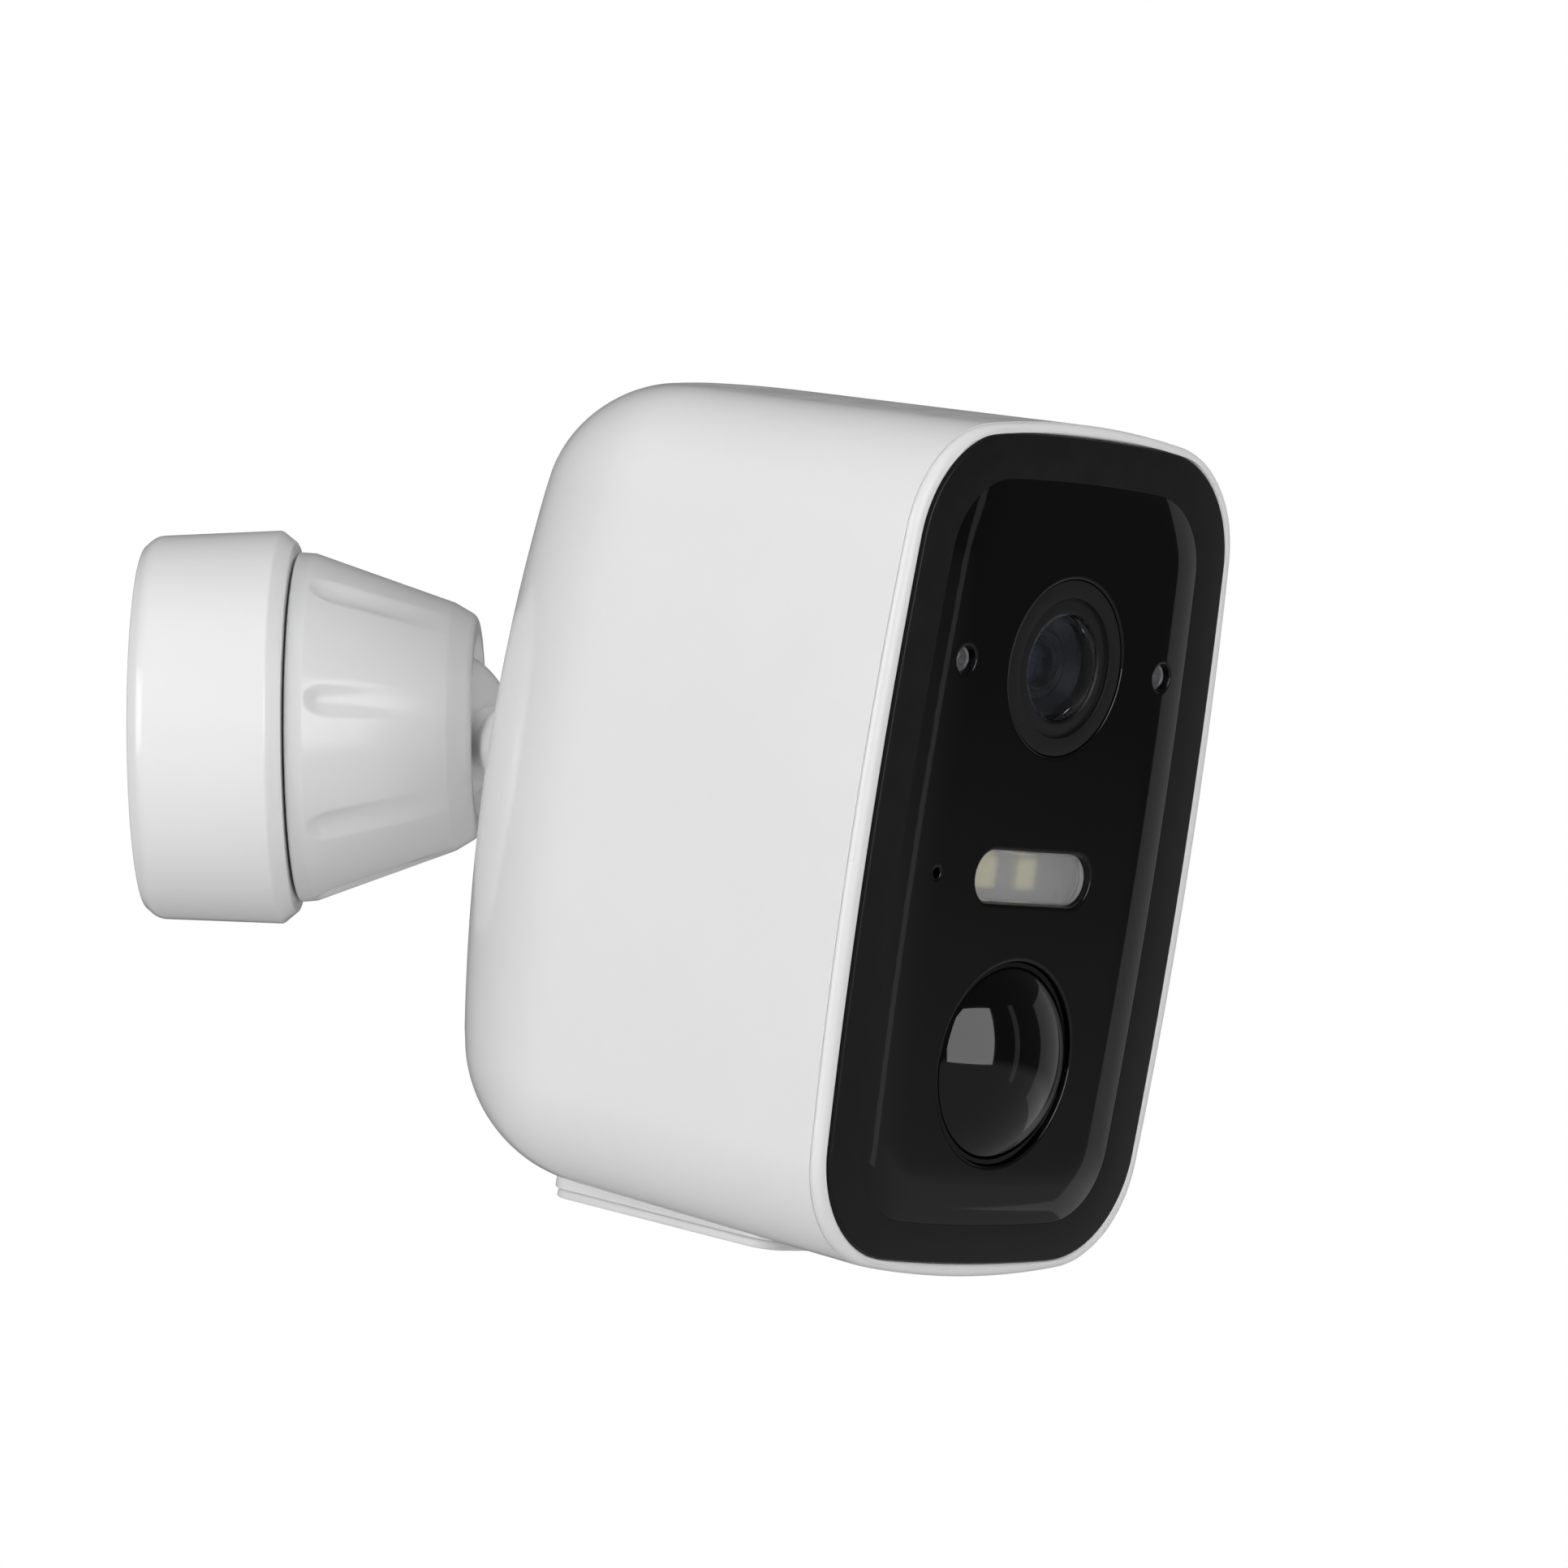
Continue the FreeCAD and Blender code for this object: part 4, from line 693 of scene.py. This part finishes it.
def make_shell():
    """Hollow shell with the land, the recess and the openings of its ports, and its grille."""
    rows = housing_grid()
    count, columns = rows.shape[:2]
    faces = grid_faces(count, columns, False, False)
    shell = mesh_object("shell", rows.reshape(-1, 3), faces, HEAD)
    wall = shell.modifiers.new("wall", "SOLIDIFY")
    wall.thickness = 2.0 * MM
    wall.offset = -1
    settle(shell)
    land = rounded_box("land", (0, PORT_MIDDLE, -45.3), (25.0, 33.7, 3.8), 3.2, 0.25)
    carve(shell, land, "UNION")
    carve(shell, rounded_box("well", (0, 37.0, -47.2), (20.6, 27.4, 4.0), 1.6, 0.2))
    carve(shell, rounded_box("usb", (0, 45.0, -45.2), (9.5, 3.7, 8.0), 1.7, 0.05))
    carve(shell, rounded_box("card", (0, 25.5, -45.2), (12.4, 1.6, 8.0), 0.4, 0.05))
    carve(shell, bars("button_holes", [(0, 33), (0, 38.5)], 1.75, -50, -40, 32))
    grille = [(x, y) for x in (-6, -2, 2, 6) for y in (12.4, 14.8, 17.2)]
    carve(shell, bars("grille", grille, 0.7, -50, -43, 20))
    dress(shell, WHITE, "head", "white_shell", "housing_shell")


def make_rim():
    """White rim with a rounded outer edge and a small chamfer beside the black panel."""
    section = [
        (BODY, 0.14, BODY_FRONT), (BODY, 0.05, 2.15), (BODY, 0.03, 2.0), (BODY, 0.06, 1.75),
        (BODY, 0.17, 1.48), (BODY, 0.38, 1.24), (BODY, 0.68, 1.08), (BODY, 1.05, 1.0),
        (PANEL, -0.5, 0.98), (PANEL, -0.36, 1.0), (PANEL, -0.1, 1.2), (PANEL, -0.06, 1.3),
        (PANEL, -0.06, 1.8), (PANEL, 2.04, 1.8), (PANEL, 2.04, 6.5), (BODY, 2.32, 6.5),
        (BODY, 2.32, BODY_FRONT),
    ]
    dress(framed("white_rim", section), SHADED_RIM_WHITE, "head", "white_shell", "front_bezel")


def hole_loops(extra, sensor_radius):
    """Openings of the front, each as a function of the distance into the plate.

    extra is the clearance around the lens, the lamps and the spotlight.
    """
    made = [lambda e: circle(RING_RADIUS + extra + e, LENS_SPOT, 96)]
    for spot in LAMP_SPOTS:
        made.append(lambda e, spot=spot: circle(LAMP_RADIUS + extra + e, spot, 40))
    made.append(lambda e: pill(extra + e))
    made.append(lambda e: circle(sensor_radius + e, SENSOR_SPOT, 108))
    made.append(lambda e: circle(MIC_RADIUS + e, MIC_SPOT, 28))
    return made


def make_front():
    """Satin frame and the raised glossy window."""
    section = [
        (PANEL, 0.0, 1.75), (PANEL, 0.0, 1.25), (PANEL, 0.03, 1.0), (PANEL, 0.1, 0.86),
        (PANEL, 0.2, 0.78), (PANEL, 0.36, PANEL_FACE), (WINDOW, -0.03, PANEL_FACE),
        (WINDOW, -0.02, 0.77), (WINDOW, -0.02, 0.9), (WINDOW, -0.02, SEAT_FACE),
        (WINDOW, 1.5, SEAT_FACE), (WINDOW, 1.5, SEAT_BACK), (PANEL, 2.1, SEAT_BACK),
        (PANEL, 2.1, 1.75),
    ]

    def floor_rim(inset):
        return outline(WINDOW, 1.4 + inset)

    def level(points, inside):
        return np.full(len(points), SEAT_FACE)

    ring = framed("front_ring", section)
    floor = plate("front_floor", floor_rim, hole_loops(0.1, 10.7), level, SEAT_BACK, 4.0, 0.05)
    dress(joined("satin_front", ring, floor), BLACK_SATIN, "head", "black_satin", "front_frame")

    def window_rim(inset):
        return outline(WINDOW, inset)

    def pillow(points, inside):
        border_width, step = 7.0, 0.02
        part = np.clip(1 - np.maximum(inside, 0) / border_width, 0, 1)
        return (PANEL_FACE + step) * part**3

    openings = hole_loops(0.08, 11.49)
    window = plate("gloss_window", window_rim, openings, pillow, 3.0, 0.9, 0.22, round_rim=False)
    dress(window, BLACK_GLOSS, "head", "black_gloss", "front_window")


# --- lens ----------------------------------------------------------------------------------


def make_lens():
    """Flush ring with a small step, stepped tube with its stop, and domed front glass."""
    trim = [
        (RING_RADIUS, 0.15, 0.12), (RING_RADIUS, 4.6, 0.1), (6.01, 4.6, 0.1), (6.01, 0.62, 0.12),
        (6.3, 0.42, 0.2), (7.45, 0.5, 0.1), (7.58, 0.55, 0.04), (7.68, 0.55, 0.04), (7.8, 0.15, 0.12),
    ]
    ring = turned("lens_ring", softened(trim, 5), HEAD, LENS_SPOT, 144)
    dress(ring, LENS_BLACK, "head", "dark_plastic", "lens_trim_ring")
    barrel = [
        (5.9, 2.7, 0.1), (5.9, 4.7, 0.1), (7.5, 4.7, 0.1), (7.5, 17.0, 0.1), (5.2, 17.0, 0.1),
        (5.2, 4.9, 0.05), (2.3, 4.9, 0.05), (2.3, 4.2, 0.05), (2.6, 3.85, 0.1), (2.85, 3.9, 0.06),
        (3.0, 4.05, 0.06), (3.5, 3.75, 0.06), (3.7, 3.8, 0.06), (5.05, 2.75, 0.08),
    ]
    tube = turned("lens_tube", softened(barrel, 4), HEAD, LENS_SPOT, 144)
    dress(tube, TUBE_BLACK, "head", "dark_plastic", "lens_barrel")
    sphere, apex, radius, back, bevel = 20.0, -0.35, 5.95, 2.6, 0.1
    front = cap_points(sphere, math.asin((radius - 0.12) / sphere), apex, 24)
    rest = [(radius, 0.72), (radius, back - bevel), (radius - bevel, back), (0.0, back)]
    glass = turned("front_glass", np.array(front + rest), HEAD, LENS_SPOT, 144)
    dress(glass, GLASS, "head", "lens_glass", "front_lens")


# --- lamps and sensors ---------------------------------------------------------------------


def make_lamps():
    """Clear infrared lamps, each in front of its cup."""
    cup_corners = [
        (0.0, 2.2, 0), (0.5, 2.2, 0.05), (1.0, 1.5, 0.05), (1.25, 1.4, 0.05), (1.34, 1.5, 0.05),
        (1.34, 2.9, 0.1), (0.0, 2.9, 0),
    ]
    bulge, apex = 2.19, 0.35
    tip = cap_points(bulge, math.asin(LAMP_RADIUS / bulge), apex, 16)
    body = [(LAMP_RADIUS, 5.4), (1.62, 5.5), (1.62, 6.15), (0.0, 6.15)]
    lamp = np.array(tip + body)
    cup = softened(cup_corners, 4, closed=False)
    lamps = [turned(f"lamp_{i}", lamp, HEAD, spot, 48) for i, spot in enumerate(LAMP_SPOTS)]
    cups = [turned(f"cup_{i}", cup, HEAD, spot, 40) for i, spot in enumerate(LAMP_SPOTS)]
    dress(joined("infrared_lamps", *lamps), CLEAR, "head", "clear_lens", "ir_leds")
    dress(joined("lamp_cups", *cups), LAMP_CUP, "head", "metal_can")


def make_spotlight():
    """Frosted cover, a tray behind it and two lamp chips in the tray."""

    def rim(inset):
        return pill(-inset)

    def cushion(points, inside):
        face, fall, border_width = 0.55, 0.12, 2.6
        return face + fall * np.clip(1 - inside / border_width, 0, 1) ** 2

    cover = plate("spotlight_cover", rim, [], cushion, 2.2, 0.5, 0.35)
    dress(cover, FROSTED, "head", "clear_lens", "spotlight_lens")
    length, height = 2 * SPOTLIGHT_HALF[0], 2 * SPOTLIGHT_HALF[1]
    outside = (length - 0.2, 3.4, height - 0.1)
    inside = (length - 0.9, 3.6, height - 0.8)
    tray = rounded_box("spotlight_tray", (0, 4.1, SPOTLIGHT_HEIGHT), outside, 2.7, 0.1, "y")
    carve(tray, rounded_box("tray_room", (0, 3.4, SPOTLIGHT_HEIGHT), inside, 2.3, 0.1, "y"))
    dress(tray, REFLECTOR, "head", "clear_lens")
    chips = []
    for side in (-1, 1):
        spot = (side * 3.5, 5.0, SPOTLIGHT_HEIGHT)
        chips.append(rounded_box(f"chip_{side}", spot, (3.2, 0.7, 3.2), 0.4, 0.1, "y"))
    dress(joined("spotlight_chips", *chips), PHOSPHOR, "head", "lamp_chip", "spotlight_leds")


def make_sensor_dome():
    """Hollow cap with a narrow ledge around it and a skirt."""
    radius, base, sphere, thickness, ledge, back = 10.75, 0.42, 15.2, 1.1, 11.4, 5.4
    centre = base + math.sqrt(sphere**2 - radius**2)
    outer = cap_points(sphere, math.asin(radius / sphere), centre - sphere, 32)
    skirt = [
        (radius + 0.06, base + 0.12), (ledge - 0.12, base + 0.12), (ledge, base + 0.24),
        (ledge, back), (radius - thickness, back),
    ]
    inner_sphere = sphere - thickness
    inner_reach = math.asin((radius - thickness) / inner_sphere)
    inner = cap_points(inner_sphere, inner_reach, centre - inner_sphere, 32)
    profile = np.array(outer + skirt + inner[::-1])
    dome = turned("sensor_dome", profile, HEAD, SENSOR_SPOT, 160)
    dress(dome, BLACK_GLOSS, "head", "black_gloss", "pir_lens")


def make_port_cover():
    """Soft pad that closes the ports under the body."""
    pad = rounded_box("port_pad", (0, PORT_MIDDLE, -47.75), (24.4, 33.1, 1.0), 3.0, 0.3)
    dress(pad, RUBBER_WHITE, "cover", "white_rubber", "port_cover")


make_cover()
make_nut()
make_stud()
make_shell()
make_rim()
make_front()
make_lens()
make_lamps()
make_spotlight()
make_sensor_dome()
make_port_cover()


# --- stage ---------------------------------------------------------------------------------
# Places are in metres, in the shared frame.

FLOOR_GLOW, ROOM_GLOW = 0.3, 0.06
SKYLINE = (-0.28, -0.17)            # slopes between which the floor's glow becomes the room's
LIGHT_TARGET = (-0.02, -0.07, 0)
LIGHTS = [                          # name, place, width and height, power, seen in the gloss
    ("left_box", (-1.06, -0.9, 0.12), (1.0, 1.05), 10.5, True),
    ("right_box", (-1.0, 1.2, 0.15), (1.0, 1.1), 13.6, True),
    ("far_box", (1.2, 0.5, 0.3), (1.0, 1.0), 9.0, False),
    ("rear_fill", (1.3, -0.5, 0.1), (1.0, 1.0), 7.0, False),
    ("top_box", (-0.6, 0.0, 1.3), (1.0, 1.0), 8.0, False),
    ("low_box", (-0.8, 0.1, -0.9), (1.0, 0.8), 3.2, False),
    ("left_fill", (0.1, -1.3, 0.3), (0.8, 0.8), 1.6, False),
    ("side_card", (0.9, -1.22, -0.1), (0.95, 1.3), 1.1, True),
    ("left_strip", (-0.22, -1.5, 0.0), (0.13, 1.3), 0.16, True),
]


def make_floor():
    """Pale floor well below the object, which neither lights it nor shows in its gloss."""
    reach, height = 30.0, -1.2
    corners = [(x * reach, y * reach, height) for x, y in ((-1, -1), (1, -1), (1, 1), (-1, 1))]
    mesh = bpy.data.meshes.new("floor")
    mesh.from_pydata(corners, [], [(0, 1, 2, 3)])
    paint = finish_of(
        "pale_floor", (0.9, 0.9, 0.9), 0.7, 0.05, 0.004, 60,
        Emission_Strength=1.1, Emission_Color=(1, 1, 1, 1),
    )
    mesh.materials.append(paint)
    item = bpy.data.objects.new("floor", mesh)
    scene.collection.objects.link(item)
    item.visible_glossy = False
    item.visible_diffuse = False


def make_world():
    """White behind the object, with a dark room and a grey floor in the reflections."""
    world = bpy.data.worlds.new("studio")
    scene.world = world
    world.use_nodes = True
    tree = world.node_tree
    back = tree.nodes["Background"]
    back.inputs["Color"].default_value = (1, 1, 1, 1)
    where = tree.nodes.new("ShaderNodeTexCoord")
    split = tree.nodes.new("ShaderNodeSeparateXYZ")
    room = tree.nodes.new("ShaderNodeMapRange")
    room.inputs["From Min"].default_value = SKYLINE[0]
    room.inputs["From Max"].default_value = SKYLINE[1]
    room.inputs["To Min"].default_value = FLOOR_GLOW
    room.inputs["To Max"].default_value = ROOM_GLOW
    rays = tree.nodes.new("ShaderNodeLightPath")
    pick = tree.nodes.new("ShaderNodeMix")
    pick.inputs["B"].default_value = 1.0
    tree.links.new(where.outputs["Generated"], split.inputs["Vector"])
    tree.links.new(split.outputs["Z"], room.inputs["Value"])
    tree.links.new(rays.outputs["Is Camera Ray"], pick.inputs["Factor"])
    tree.links.new(room.outputs["Result"], pick.inputs["A"])
    tree.links.new(pick.outputs["Result"], back.inputs["Strength"])


def aimed(name, data, spot, target):
    """Light or camera at a spot, looking at a target."""
    item = bpy.data.objects.new(name, data)
    item.location = spot
    item.rotation_euler = (Vector(target) - Vector(spot)).to_track_quat("-Z", "Y").to_euler()
    scene.collection.objects.link(item)
    return item


def make_camera():
    camera = bpy.data.cameras.new("camera")
    camera.lens = 192.0
    camera.sensor_width = 36.0
    camera.clip_start = 0.01
    camera.clip_end = 200.0
    scene.camera = aimed("camera", camera, (-0.9731, -0.1111, -0.0652), (0.0, -0.0746, -0.0068))


def make_lights():
    for name, spot, size, power, in_gloss in LIGHTS:
        lamp = bpy.data.lights.new(name, "AREA")
        lamp.shape = "RECTANGLE"
        lamp.size, lamp.size_y = size
        lamp.energy = power
        aimed(name, lamp, spot, LIGHT_TARGET).visible_glossy = in_gloss


make_floor()
make_world()
make_camera()
make_lights()
scene.view_settings.view_transform = "Standard"
